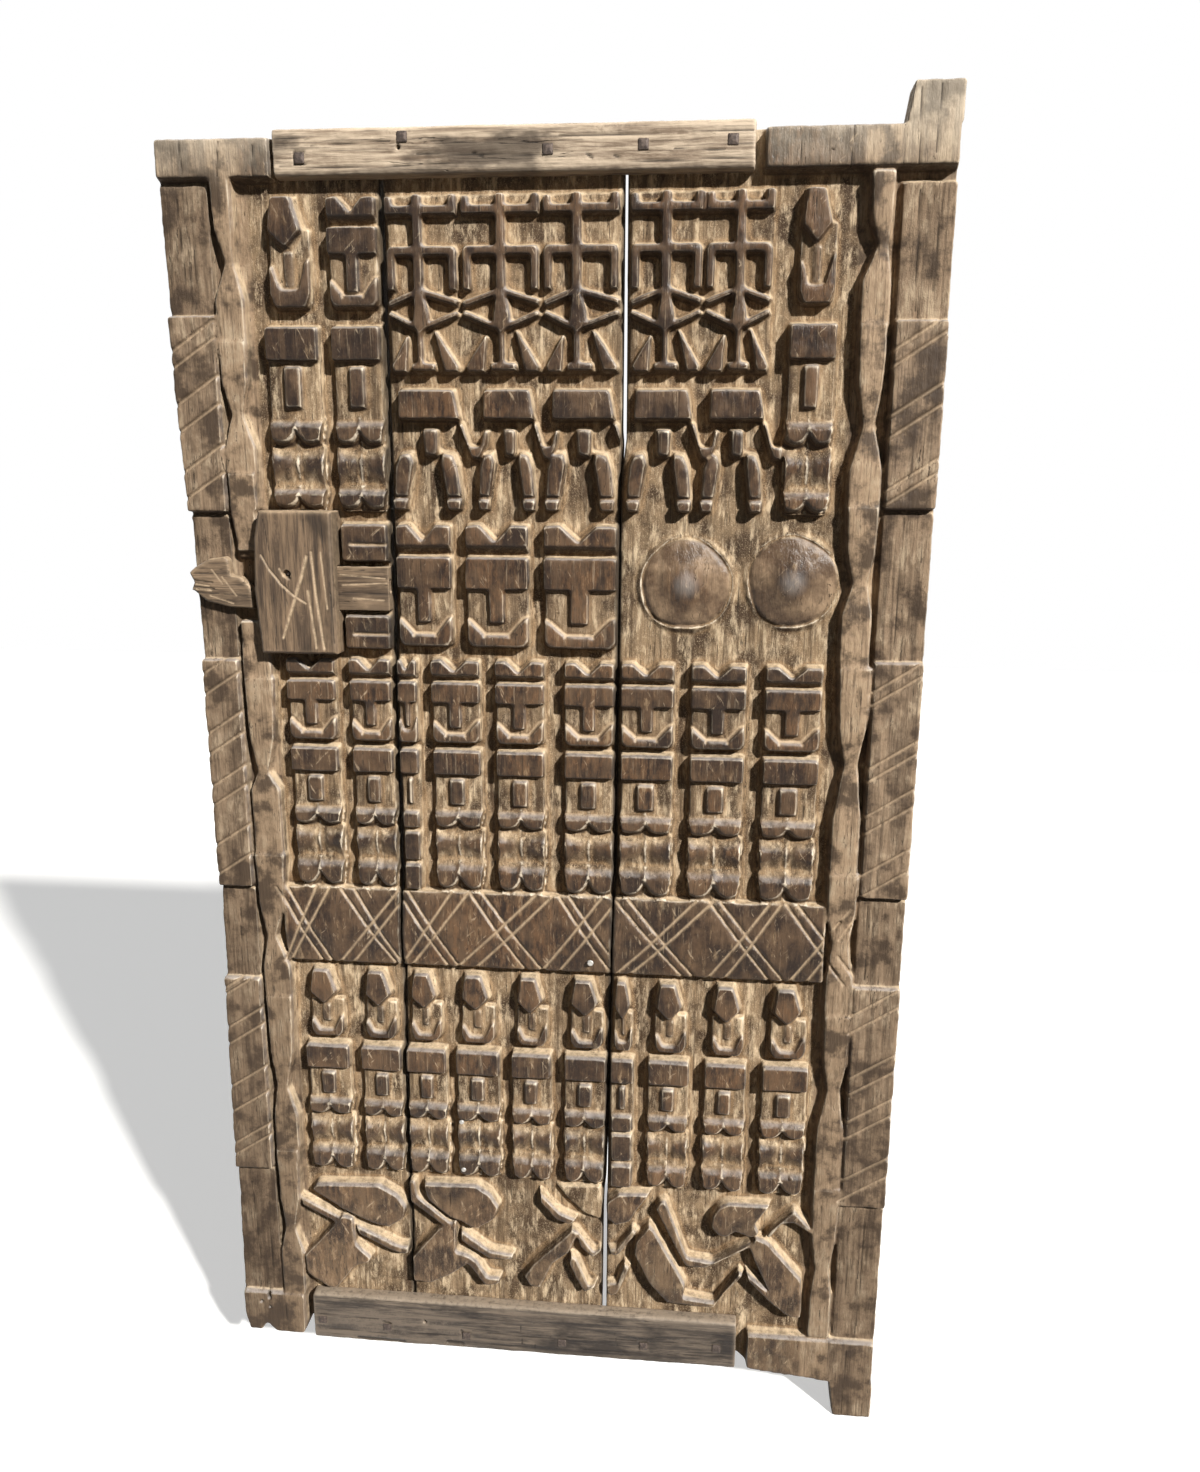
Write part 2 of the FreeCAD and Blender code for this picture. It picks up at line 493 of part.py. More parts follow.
def keeps_shape(points, corners):
    """True if no edge turned over or vanished and the outline doesn't cross itself."""
    for i, (ax, az) in enumerate(points):
        bx, bz = points[(i + 1) % len(points)]
        (cx, cz), (dx, dz) = corners[i], corners[(i + 1) % len(points)]
        along = (bx - ax) * (dx - cx) + (bz - az) * (dz - cz)
        if along < EDGE_KEPT_SHARE * ((bx - ax) ** 2 + (bz - az) ** 2):
            return False
    return Part.Face(Part.makePolygon(loop(corners + corners[:1], 0))).isValid()


def crest(points, shares):
    """Bevelled outline; the bevels are held back where the form is too small for them."""
    bevels = [share * RELIEF_DEPTH for share in shares]
    corners = inset(points, bevels)
    while not keeps_shape(points, corners):
        bevels = [BEVEL_STEP_SHARE * size for size in bevels]
        corners = inset(points, bevels)
    return corners


def loop(points, y):
    return [FreeCAD.Vector(x, y, z) for x, z in points]


def faceted(loops):
    """Closed solid through two or more loops with the same number of points."""
    faces = [Part.Face(Part.makePolygon(ring + ring[:1])) for ring in (loops[0], loops[-1])]
    for lower, upper in zip(loops, loops[1:]):
        for a, b, c, d in zip(lower, lower[1:] + lower[:1], upper[1:] + upper[:1], upper):
            try:
                faces.append(Part.Face(Part.makePolygon([a, b, c, d, a])))
            except Part.OCCError:
                faces.append(Part.Face(Part.makePolygon([a, b, c, a])))
                faces.append(Part.Face(Part.makePolygon([a, c, d, a])))
    solid = Part.Solid(Part.Shell(faces))
    return solid if solid.Volume > 0 else solid.reversed()


def form(points, rise, bevel_shares):
    """Carved form that stands out of the ground by a share of the relief depth."""
    front_y = GROUND_Y - rise * RELIEF_DEPTH
    if not bevel_shares:
        return prism(points, front_y, GROUND_Y + ROOT_DEPTH)
    return faceted([loop(points, GROUND_Y + ROOT_DEPTH), loop(points, GROUND_Y),
                    loop(crest(points, bevel_shares), front_y)])


def dipped_form(box, shares, hub):
    """Carved block whose face falls from its own rises at the outline to a point inside it."""
    points = outline(box, [(s, t) for s, t, rise in shares])
    ring = [FreeCAD.Vector(x, GROUND_Y - rise * RELIEF_DEPTH, z)
            for (x, z), (s, t, rise) in zip(points, shares)]
    (x, z), = outline(box, (hub[:2],))
    dip = FreeCAD.Vector(x, GROUND_Y - hub[2] * RELIEF_DEPTH, z)
    root = loop(points, GROUND_Y + ROOT_DEPTH)
    faces = [Part.Face(Part.makePolygon(root + root[:1]))]
    for a, b, c, d in zip(root, root[1:] + root[:1], ring[1:] + ring[:1], ring):
        faces.append(Part.Face(Part.makePolygon([a, b, c, d, a])))
        faces.append(Part.Face(Part.makePolygon([d, c, dip, d])))
    solid = Part.Solid(Part.Shell(faces))
    return solid if solid.Volume > 0 else solid.reversed()


def box_between(x0, x1, y0, y1, z0, z1):
    return Part.makeBox(x1 - x0, y1 - y0, z1 - z0, FreeCAD.Vector(x0, y0, z0))


def square_bar(x, z, side, y0, y1):
    return box_between(x - side / 2, x + side / 2, y0, y1, z - side / 2, z + side / 2)


def prism(points, y0, y1):
    """Straight block with the given outline between two depths."""
    face = Part.Face(Part.makePolygon(loop(points + points[:1], y0)))
    return face.extrude(FreeCAD.Vector(0, y1 - y0, 0))


def stroke(start, end, width):
    """Outline of a straight strip from one point to another."""
    (ax, az), (bx, bz) = start, end
    length = math.hypot(bx - ax, bz - az)
    nx, nz = -(bz - az) / length * width / 2, (bx - ax) / length * width / 2
    return [(ax + nx, az + nz), (bx + nx, bz + nz), (bx - nx, bz - nz), (ax - nx, az - nz)]


def groove(start, end, surface_y, width, depth):
    """Tool for a V groove along a line in a flat surface."""
    (ax, az), (bx, bz) = start, end
    length = math.hypot(bx - ax, bz - az)
    nx, nz = -(bz - az) / length * width / 2, (bx - ax) / length * width / 2
    widen = (depth + OVERRUN) / depth
    rings = []
    for x, z in (start, end):
        rings.append([FreeCAD.Vector(x, surface_y + depth, z),
                      FreeCAD.Vector(x + nx * widen, surface_y - OVERRUN, z + nz * widen),
                      FreeCAD.Vector(x - nx * widen, surface_y - OVERRUN, z - nz * widen)])
    return faceted(rings)


# Carved motifs

def figure_forms(plank, row, kind, start, end):
    """One figure or mask of a row, built from the parts of its kind."""
    drop, height, levels = ROWS[row]
    box = cell(plank, start, end, drop, height)
    parts, legs = KINDS[kind]
    forms = [form(outline(inner(box, span, levels[level]), shape), rise, bevels)
             for level, shape, span, rise, bevels in parts]
    return forms + [dipped_form(inner(box, (0, 1), levels[level]), shares, hub)
                    for level, shares, hub in legs]


def lattice_forms(plank, units):
    """Openwork lattice of bars, eye shapes and slanting struts."""
    forms = []
    for start, middle, end in units:
        left, right, top, bottom = cell(plank, start, end, LATTICE_DROP, LATTICE_HEIGHT)
        centre = PLANKS[plank][0] + middle * PLANKS[plank][1]

        def at(s, t):
            x = left + 2 * s * (centre - left) if s < .5 else centre + (2 * s - 1) * (right - centre)
            return x, top - t * (top - bottom)

        for (sa, ta), (sb, tb), width in LATTICE_STROKE_SHARES:
            strip = stroke(at(sa, ta), at(sb, tb), width * LATTICE_STROKE)
            forms.append(form(strip, LATTICE_RISE_SHARE, STROKE_BEVEL_SHARES))
        for shares, rise in LATTICE_BLOCK_SHARES:
            forms.append(form([at(s, t) for s, t in shares], rise, CROWN_BEVEL_SHARES))
    return forms


def ledge_form(plank, span):
    """Low step that the lattice stands on."""
    return form(outline(cell(plank, span[0], span[1], LATTICE_DROP, LATTICE_HEIGHT), SQUARE_SHARES),
                LEDGE_RISE_SHARE, STROKE_BEVEL_SHARES)


def rider_forms(plank, spans):
    """Barred riders with slanting arms and bowed legs."""
    forms = []
    for start, end in spans:
        box = cell(plank, start, end, RIDER_DROP, RIDER_HEIGHT)
        forms += [form(outline(box, shares), rise, bevels)
                  for shares, rise, bevels in RIDER_SHARES]
    return forms


def dome_forms():
    """Two pointed domes."""
    left, width = PLANKS["right"]
    forms = []
    for middle, half_width, shift in DOME_SHARES:
        x = left + middle * width
        z = TOP_Z - DOME_DROP - shift * DOME_RADIUS
        rings = []
        for reach, rise in ((1.0, -ROOT_DEPTH / RELIEF_DEPTH),) + DOME_LEVEL_SHARES:
            ring = []
            for i in range(DOME_SIDES):
                a = 2 * math.pi * i / DOME_SIDES
                ring.append(FreeCAD.Vector(x + reach * half_width * width * math.cos(a),
                                           GROUND_Y - rise * RELIEF_DEPTH,
                                           z + reach * DOME_RADIUS * math.sin(a)))
            rings.append(ring)
        forms.append(faceted(rings))
    return forms


def band_form(plank, span):
    """Lozenge band with a low crest along its middle."""
    left, right, top, bottom = cell(plank, span[0], span[1], BAND_DROP, BAND_HEIGHT)
    crest_z = top - BAND_CREST_SHARE * BAND_HEIGHT
    edge = GROUND_Y - BAND_EDGE_RISE_SHARE * RELIEF_DEPTH
    profile = [(GROUND_Y + ROOT_DEPTH, top), (edge, top), (FRONT_Y, crest_z), (edge, bottom),
               (GROUND_Y + ROOT_DEPTH, bottom)]
    points = [FreeCAD.Vector(left, y, z) for y, z in profile]
    return Part.Face(Part.makePolygon(points + points[:1])).extrude(
        FreeCAD.Vector(right - left, 0, 0))


def band_grooves(plank, lines):
    """Tools for the crossing lines of the lozenge band, on its upper and its lower slope."""
    left, right, top, bottom = cell(plank, 0, 1, BAND_DROP, BAND_HEIGHT)
    crest_z = top - BAND_CREST_SHARE * BAND_HEIGHT
    edge = GROUND_Y - BAND_EDGE_RISE_SHARE * RELIEF_DEPTH
    half = BAND_GROOVE_WIDTH / 2
    tools = []
    for high, low in lines:
        x0, x2 = left + high * (right - left), left + low * (right - left)
        x1 = x0 + (x2 - x0) * BAND_CREST_SHARE
        rings = []
        for x, y, z in ((x0, edge, top), (x1, FRONT_Y, crest_z), (x2, edge, bottom)):
            rings.append([FreeCAD.Vector(x, y + BAND_GROOVE_DEPTH, z),
                          FreeCAD.Vector(x + half, y, z),
                          FreeCAD.Vector(x + half, y - OVERRUN, z),
                          FreeCAD.Vector(x - half, y - OVERRUN, z),
                          FreeCAD.Vector(x - half, y, z)])
        tools.append(faceted(rings[:2]))
        tools.append(faceted(rings[1:]))
    return tools


def crouch_forms(plank, start, figure):
    left = PLANKS[plank][0] + start * PLANKS[plank][1]
    box = (left, left + CROUCH_SIDE, TOP_Z - CROUCH_DROP, TOP_Z - CROUCH_DROP - CROUCH_SIDE)
    return [form(outline(box, shares), rise, STROKE_BEVEL_SHARES) for shares, rise in figure]


def strip_forms(left, facets):
    """Twisted strip: a stack of hourglass facets."""
    forms = []
    for drops, start, waist, end in facets:
        rings = []
        along, inward = STRIP_SHOULDER_SHARES
        shoulder = [p + inward * (q - p) for p, q in zip(start, waist)]
        levels = (drops[0], drops[0] + along * (drops[1] - drops[0])) + drops[1:]
        spans = (start, shoulder, waist, end, end)
        for drop, (a, b), rise in zip(levels, spans, STRIP_RISE_SHARES):
            x0, x1 = left + a * STRIP_WIDTH, left + b * STRIP_WIDTH
            y, z = GROUND_Y - rise * RELIEF_DEPTH, TOP_Z - drop * BODY_HEIGHT
            foot0, foot1 = x0 - STRIP_FLARE, x1 + STRIP_FLARE
            rings.append([FreeCAD.Vector(foot0, GROUND_Y + ROOT_DEPTH, z),
                          FreeCAD.Vector(foot1, GROUND_Y + ROOT_DEPTH, z),
                          FreeCAD.Vector(foot1, GROUND_Y, z), FreeCAD.Vector(x1, y, z),
                          FreeCAD.Vector(x0, y, z), FreeCAD.Vector(foot0, GROUND_Y, z)])
        forms.append(faceted(rings))
    return forms


def block(left, right, top, bottom):
    """Plain block left standing beside a batten."""
    return form([(left, top), (right, top), (right, bottom), (left, bottom)], 1,
                STROKE_BEVEL_SHARES)


def border_forms(left, right, fields, end):
    """Hatched fields stand at full relief, plain fields between them are cut back."""
    forms = []
    starts = [share for share, _ in fields] + [end]
    for (share, hatched), stop in zip(fields, starts[1:]):
        box = (left, right, TOP_Z - share * BODY_HEIGHT, TOP_Z - stop * BODY_HEIGHT)
        rise = 1 if hatched else BORDER_RECESS_SHARE
        forms.append(form(outline(box, SQUARE_SHARES), rise, STROKE_BEVEL_SHARES))
    return forms


def hatch_grooves(left, right, shares):
    tools = []
    for share in shares:
        z = TOP_Z - share * BODY_HEIGHT
        rise = (right - left) * HATCH_SLOPE_SHARE
        tools.append(groove((left - OVERRUN, z), (right, z + rise), FRONT_Y, HATCH_WIDTH,
                            HATCH_DEPTH))
    return tools


# Nail places

def batten_box(start, length, drop, height):
    left = LEFT_X + start
    return (left, left + length, TOP_Z - drop, TOP_Z - drop - height)


def top_batten_box():
    return batten_box(TOP_BATTEN_START, TOP_BATTEN_LENGTH, -TOP_BATTEN_RISE, TOP_BATTEN_HEIGHT)


def bottom_batten_box():
    drop = BODY_HEIGHT + BOTTOM_BATTEN_OVERHANG - BOTTOM_BATTEN_HEIGHT
    return batten_box(BOTTOM_BATTEN_START, BOTTOM_BATTEN_LENGTH, drop, BOTTOM_BATTEN_HEIGHT)


def batten_seats():
    """Flat cuts through the carving for both battens."""
    return [box_between(left - BATTEN_CLEARANCE, right + BATTEN_CLEARANCE, FRONT_Y - OVERRUN,
                        GROUND_Y, bottom - BATTEN_CLEARANCE, top + BATTEN_CLEARANCE)
            for left, right, top, bottom in (top_batten_box(), bottom_batten_box())]


def nail_holes():
    """Square holes for all the batten nails, through battens and planks."""
    holes = []
    for box, shares in ((top_batten_box(), TOP_NAIL_SHARES),
                        (bottom_batten_box(), BOTTOM_NAIL_SHARES)):
        for x, z in outline(box, shares):
            holes.append(square_bar(x, z, NAIL_SIDE + 2 * NAIL_CLEARANCE,
                                    FRONT_Y - BATTEN_THICKNESS, BACK_Y + OVERRUN))
    return holes


def tack_places():
    left, width = PLANKS["middle"]
    return [(left + s * width, TOP_Z - t * BODY_HEIGHT, size) for s, t, size in TACK_SHARES]


# Lock places

def case_box():
    left = LEFT_X + CASE_START
    return (left, left + CASE_WIDTH, TOP_Z - CASE_DROP, TOP_Z - CASE_DROP - CASE_HEIGHT)


def tumbler_x(index):
    return LEFT_X + FIRST_TUMBLER_OFFSET + index * TUMBLER_PITCH


def guide_forms():
    """Blocks over and under the bolt, right of the case, each with a cut line."""
    top = BOLT_TOP_Z + GUIDE_GAP + UPPER_GUIDE_HEIGHT
    bottom = BOLT_TOP_Z - BOLT_HEIGHT - GUIDE_GAP
    right = LEFT_X + LEFT_PLANK_WIDTH
    boxes = ((LEFT_X + GUIDE_START, right, top, top - UPPER_GUIDE_HEIGHT),
             (LEFT_X + GUIDE_START, right, bottom, bottom - LOWER_GUIDE_HEIGHT))
    return [form(outline(box, SQUARE_SHARES), 1, STROKE_BEVEL_SHARES) for box in boxes]


def guide_grooves():
    tools = []
    width = LEFT_PLANK_WIDTH - GUIDE_START
    start, end = [LEFT_X + GUIDE_START + share * width for share in GUIDE_LINE_SPAN_SHARES]
    upper = BOLT_TOP_Z + GUIDE_GAP + GUIDE_LINE_SHARES[0] * UPPER_GUIDE_HEIGHT
    lower = BOLT_TOP_Z - BOLT_HEIGHT - GUIDE_GAP - GUIDE_LINE_SHARES[1] * LOWER_GUIDE_HEIGHT
    for z in (upper, lower):
        tools.append(groove((start, z), (end, z), FRONT_Y, HATCH_WIDTH, HATCH_DEPTH))
    return tools


def spike_places():
    return outline(case_box(), CASE_SPIKE_SHARES)


# Planks

def slab(plank, shares):
    left, width = PLANKS[plank]
    box = (left, left + width, TOP_Z, TOP_Z - BODY_HEIGHT)
    return outline(box, shares)


def carve(points, forms, tools):
    """Plank with its carving: forms are added, trimmed to the outline, and grooves are cut."""
    ground = prism(points, GROUND_Y, BACK_Y)
    envelope = prism(points, FRONT_Y - RELIEF_DEPTH, BACK_Y + OVERRUN)
    return ground.fuse(forms).common(envelope).cut(tools + batten_seats() + nail_holes())


def left_plank():
    points = slab("left", LEFT_OUTLINE_SHARES)
    border_right = LEFT_X + BORDER_WIDTH
    foot_z = TOP_Z - BORDER_END_SHARES[0] * BODY_HEIGHT
    top_right = LEFT_X + TOP_BATTEN_START - TOP_LEFT_GAP
    foot_right = LEFT_X + BOTTOM_BATTEN_START - BOTTOM_LEFT_GAP
    forms = [block(LEFT_X, top_right, TOP_Z, TOP_Z - TOP_BLOCK_HEIGHT),
             block(LEFT_X, foot_right, foot_z, TOP_Z - BODY_HEIGHT)]
    forms += border_forms(LEFT_X - OVERRUN, border_right, LEFT_FIELD_SHARES, BORDER_END_SHARES[0])
    forms += strip_forms(border_right, LEFT_STRIP_SHARES)
    for row, kind, start, end in LEFT_FIGURE_SHARES:
        forms += figure_forms("left", row, kind, start, end)
    forms += guide_forms()
    forms.append(band_form("left", LEFT_BAND_SPAN_SHARES))
    forms += crouch_forms("left", CROUCH_START_SHARES[0], LEFT_CROUCH_SHARES)
    tools = hatch_grooves(LEFT_X, border_right, LEFT_HATCH_SHARES)
    tools += band_grooves("left", LEFT_BAND_SHARES) + guide_grooves()
    tools.append(lock_seat())
    tools += bolt_path()
    for x, z in spike_places():
        tools.append(square_bar(x, z, CASE_SPIKE_SIDE + 2 * NAIL_CLEARANCE,
                                GROUND_Y - OVERRUN, BACK_Y + OVERRUN))
    return carve(points, forms, tools)


def bolt_path():
    """Cuts that keep the carving clear of the bolt, over the border and beside the case."""
    top, bottom = BOLT_TOP_Z + GUIDE_GAP, BOLT_TOP_Z - BOLT_HEIGHT - GUIDE_GAP
    head_top = BOLT_TOP_Z + BOLT_HEAD_GAP
    return [box_between(LEFT_X - OVERRUN, LEFT_X + CASE_START, FRONT_Y - OVERRUN, RECESS_Y,
                        bottom, head_top),
            box_between(LEFT_X + GUIDE_START, BOLT_RIGHT_X + SEAM_GAP, FRONT_Y - OVERRUN,
                        GROUND_Y, bottom, top)]


def lock_seat():
    """Flat cut through the carving for the lock case."""
    left, right, top, bottom = case_box()
    return box_between(left, right, FRONT_Y - OVERRUN, GROUND_Y, bottom, top)


def middle_plank():
    points = slab("middle", MIDDLE_OUTLINE_SHARES)
    forms = lattice_forms("middle", MIDDLE_LATTICE_SHARES)
    forms.append(ledge_form("middle", LEDGE_SPAN_SHARES))
    forms += rider_forms("middle", MIDDLE_RIDER_SHARES)
    for row, kind, start, end in MIDDLE_FIGURE_SHARES:
        forms += figure_forms("middle", row, kind, start, end)
    forms.append(band_form("middle", MIDDLE_BAND_SPAN_SHARES))
    forms += crouch_forms("middle", CROUCH_START_SHARES[1], MIDDLE_CROUCH_SHARES)
    forms += crouch_forms("middle", CROUCH_START_SHARES[2], WORN_CROUCH_SHARES)
    tools = band_grooves("middle", MIDDLE_BAND_SHARES) + tack_holes()
    return carve(points, forms, tools)


def pivot_section(z, width):
    """Outline of a pivot at one height: flat in front and to the right, rounded behind."""
    left, right = DOOR_RIGHT - width, DOOR_RIGHT
    radius = PIVOT_BACK_RADIUS
    bend = radius * (1 - math.sqrt(2) / 2)
    v = FreeCAD.Vector
    a, b = v(left, FRONT_Y, z), v(right, FRONT_Y, z)
    c, d = v(right, BACK_Y - radius, z), v(right - radius, BACK_Y, z)
    e, f = v(left + radius, BACK_Y, z), v(left, BACK_Y - radius, z)
    edges = [Part.LineSegment(a, b), Part.LineSegment(b, c),
             Part.Arc(c, v(right - bend, BACK_Y - bend, z), d), Part.LineSegment(d, e),
             Part.Arc(e, v(left + bend, BACK_Y - bend, z), f), Part.LineSegment(f, a)]
    return Part.Wire([edge.toShape() for edge in edges])


def pivot(root_z, tip_z):
    """Pivot carved in one with the plank, wider at its root."""
    sections = [pivot_section(root_z, PIVOT_ROOT_WIDTH), pivot_section(tip_z, PIVOT_WIDTH)]
    return Part.makeLoft(sections, True, True)


def right_plank():
    points = slab("right", RIGHT_OUTLINE_SHARES)
    body_foot = TOP_Z - BODY_HEIGHT - RIGHT_PLANK_DROP
    points[2] = (DOOR_RIGHT, body_foot)
    points[3] = (DOOR_RIGHT - PIVOT_WIDTH, body_foot)
    border_left = DOOR_RIGHT - BORDER_WIDTH
    foot_z = TOP_Z - BORDER_END_SHARES[1] * BODY_HEIGHT
    top_left = top_batten_box()[1] + TOP_RIGHT_GAP
    foot_left = bottom_batten_box()[1] + BOTTOM_RIGHT_GAP
    forms = [block(top_left, DOOR_RIGHT, TOP_Z, TOP_Z - TOP_BLOCK_HEIGHT),
             block(foot_left, DOOR_RIGHT, foot_z, body_foot)]
    forms += border_forms(border_left, DOOR_RIGHT + OVERRUN, RIGHT_FIELD_SHARES,
                          BORDER_END_SHARES[1])
    forms += strip_forms(border_left - STRIP_WIDTH, RIGHT_STRIP_SHARES)
    forms += lattice_forms("right", RIGHT_LATTICE_SHARES)
    forms.append(ledge_form("right", RIGHT_LEDGE_SPAN_SHARES))
    forms += rider_forms("right", RIGHT_RIDER_SHARES) + dome_forms()
    for row, kind, start, end in RIGHT_FIGURE_SHARES:
        forms += figure_forms("right", row, kind, start, end)
    forms.append(band_form("right", RIGHT_BAND_SPAN_SHARES))
    forms += crouch_forms("right", CROUCH_START_SHARES[3], SEATED_CROUCH_SHARES)
    forms += crouch_forms("right", CROUCH_START_SHARES[4], RECLINING_CROUCH_SHARES)
    tools = hatch_grooves(border_left, DOOR_RIGHT + OVERRUN, RIGHT_HATCH_SHARES)
    tools += band_grooves("right", RIGHT_BAND_SHARES) + nail_holes()
    carved = carve(points, forms, tools)
    lower = pivot(body_foot, body_foot - LOWER_PIVOT_LENGTH)
    upper = pivot(TOP_Z, TOP_Z + UPPER_PIVOT_LENGTH)
    return carved.fuse([lower, upper])


# Battens, nails and tacks

def batten(box, empty_hole):
    """Half rounded batten with its nail holes and one empty hole."""
    front = GROUND_Y - BATTEN_THICKNESS
    points = outline(box, SQUARE_SHARES)
    rings = [loop(points, GROUND_Y)]
    for reach, depth in BATTEN_ROUNDING_SHARES:
        side = reach * BATTEN_ROUNDING
        rings.append(loop(inset(points, (0, 0, side, side)), front + depth * BATTEN_ROUNDING))
    (x, z), = outline(box, (empty_hole,))
    hole = square_bar(x, z, NAIL_SIDE, front - OVERRUN, GROUND_Y + OVERRUN)
    return faceted(rings).cut([hole] + nail_holes())


def nail(x, z):
    """Forged nail: faceted head, square shank and clenched end."""
    front = GROUND_Y - BATTEN_THICKNESS
    end = BACK_Y + NAIL_CLENCH_THICKNESS
    shank = square_bar(x, z, NAIL_SIDE, front, end)
    clench = box_between(x, x + NAIL_CLENCH_LENGTH, BACK_Y, end, z - NAIL_SIDE / 2,
                         z + NAIL_SIDE / 2)
    head = forged_head(x, z, NAIL_HEAD_SIDE, NAIL_SIDE, front, -NAIL_HEAD_HEIGHT)
    return head.fuse([shank, clench]).removeSplitter()


def forged_head(x, z, side, crown_side, y, height):
    """Square head, straight for half its height and then tapered to its crown."""
    rings = []
    for width, depth in ((side, 0), (side, height / 2), (crown_side, height)):
        half = width / 2
        rings.append(loop([(x - half, z - half), (x + half, z - half), (x + half, z + half),
                           (x - half, z + half)], y + depth))
    return faceted(rings)


def nails(box, shares):
    return Part.makeCompound([nail(x, z) for x, z in outline(box, shares)])


def round_tacks():
    """Round headed tacks driven into carved figures of the middle plank."""
    tacks = []
    for x, z, size in tack_places():
        rings = []
        for reach, y in ((TACK_HEAD_RADIUS * size, FRONT_Y),
                         (TACK_HEAD_RADIUS * size - TACK_FLARE, FRONT_Y - TACK_HEAD_HEIGHT)):
            angles = [2 * math.pi * i / TACK_HEAD_SIDES for i in range(TACK_HEAD_SIDES)]
            rings.append(loop([(x + reach * math.cos(a), z + reach * math.sin(a))
                               for a in angles], y))
        shank = square_bar(x, z, TACK_SHANK_SIDE, FRONT_Y, FRONT_Y + TACK_SHANK_LENGTH)
        tacks.append(faceted(rings).fuse(shank))
    return Part.makeCompound(tacks)


# Lock

def bolt_profile_boxes(grow, travel):
    """Thin and thick stretches of the bolt's bar, grown by a clearance and swept by a travel."""
    top, bottom = BOLT_TOP_Z + grow, BOLT_TOP_Z - BOLT_HEIGHT - grow
    front = BOLT_FRONT_Y - grow
    thick = LEFT_X + BOLT_THICK_START
    thin_bar = (LEFT_X + BOLT_HEAD_END - travel, BOLT_RIGHT_X, front, BOLT_THIN_BACK_Y + grow,
                bottom, top)
    thick_bar = (thick - travel, BOLT_RIGHT_X, front, BOLT_BACK_Y + grow, bottom, top)
    return thin_bar, thick_bar


def lock_case():
    """Upright case over the bolt, with pockets for the tumblers open to its back."""
    box = case_box()
    left, right, top, bottom = box
    sides = outline(box, CASE_LEAN_SHARES)
    body = faceted([loop(sides, GROUND_Y), loop(sides, CASE_FRONT_Y + CASE_CORNER),
                    loop(inset(sides, [CASE_CORNER] * 4), CASE_FRONT_Y)])
    thin_bar, thick_bar = bolt_profile_boxes(BOLT_CLEARANCE, BOLT_TRAVEL + OVERRUN)
    channel = box_between(left - OVERRUN, right + OVERRUN, thick_bar[2], GROUND_Y + OVERRUN,
                          thick_bar[4], thick_bar[5])
    tools = [channel]
    for index in range(len(TUMBLER_NAMES)):
        x = tumbler_x(index)
        shoulder = TUMBLER_FOOT_Z + SHOULDER_HEIGHT
        crown = shoulder + TUMBLER_DROP + TUMBLER_HEAD_HEIGHT + TUMBLER_LIFT + OVERRUN
        for side, z0 in ((TUMBLER_SIDE, BOLT_TOP_Z), (TUMBLER_HEAD_SIDE, shoulder)):
            half = side / 2 + TUMBLER_FIT
            tools.append(box_between(x - half, x + half, TUMBLER_Y - half, GROUND_Y + OVERRUN,
                                     z0, crown))
    (x, z), = outline(box, (CASE_HOLE_PLACE_SHARES,))
    tools.append(Part.makeCylinder(CASE_HOLE_RADIUS, CASE_HOLE_DEPTH + OVERRUN,
                                   FreeCAD.Vector(x, CASE_FRONT_Y - OVERRUN, z),
                                   FreeCAD.Vector(0, 1, 0)))
    tools.append(square_bar(x, z, CASE_NAIL_SIDE + 2 * NAIL_CLEARANCE, CASE_FRONT_Y,
                            CASE_FRONT_Y + CASE_HOLE_DEPTH + CASE_NAIL_BITE))
    for x, z in spike_places():
        tools.append(square_bar(x, z, CASE_SPIKE_SIDE + 2 * NAIL_CLEARANCE,
                                GROUND_Y - CASE_SPIKE_BITE, GROUND_Y + OVERRUN))
    return body.cut(tools)


def lock_case_nail():
    """Stub of an old nail in the bottom of the worn hole in the case's front."""
    (x, z), = outline(case_box(), (CASE_HOLE_PLACE_SHARES,))
    bottom = CASE_FRONT_Y + CASE_HOLE_DEPTH
    return square_bar(x, z, CASE_NAIL_SIDE, bottom - CASE_NAIL_STAND, bottom + CASE_NAIL_BITE)


def lock_case_spikes():
    """Forged spikes driven from behind through the plank into the case."""
    spikes = []
    for x, z in spike_places():
        shank = square_bar(x, z, CASE_SPIKE_SIDE, GROUND_Y - CASE_SPIKE_BITE, BACK_Y)
        head = forged_head(x, z, CASE_SPIKE_HEAD_SIDE, CASE_SPIKE_SIDE, BACK_Y,
                           CASE_SPIKE_HEAD_HEIGHT)
        spikes.append(shank.fuse(head))
    return Part.makeCompound(spikes)


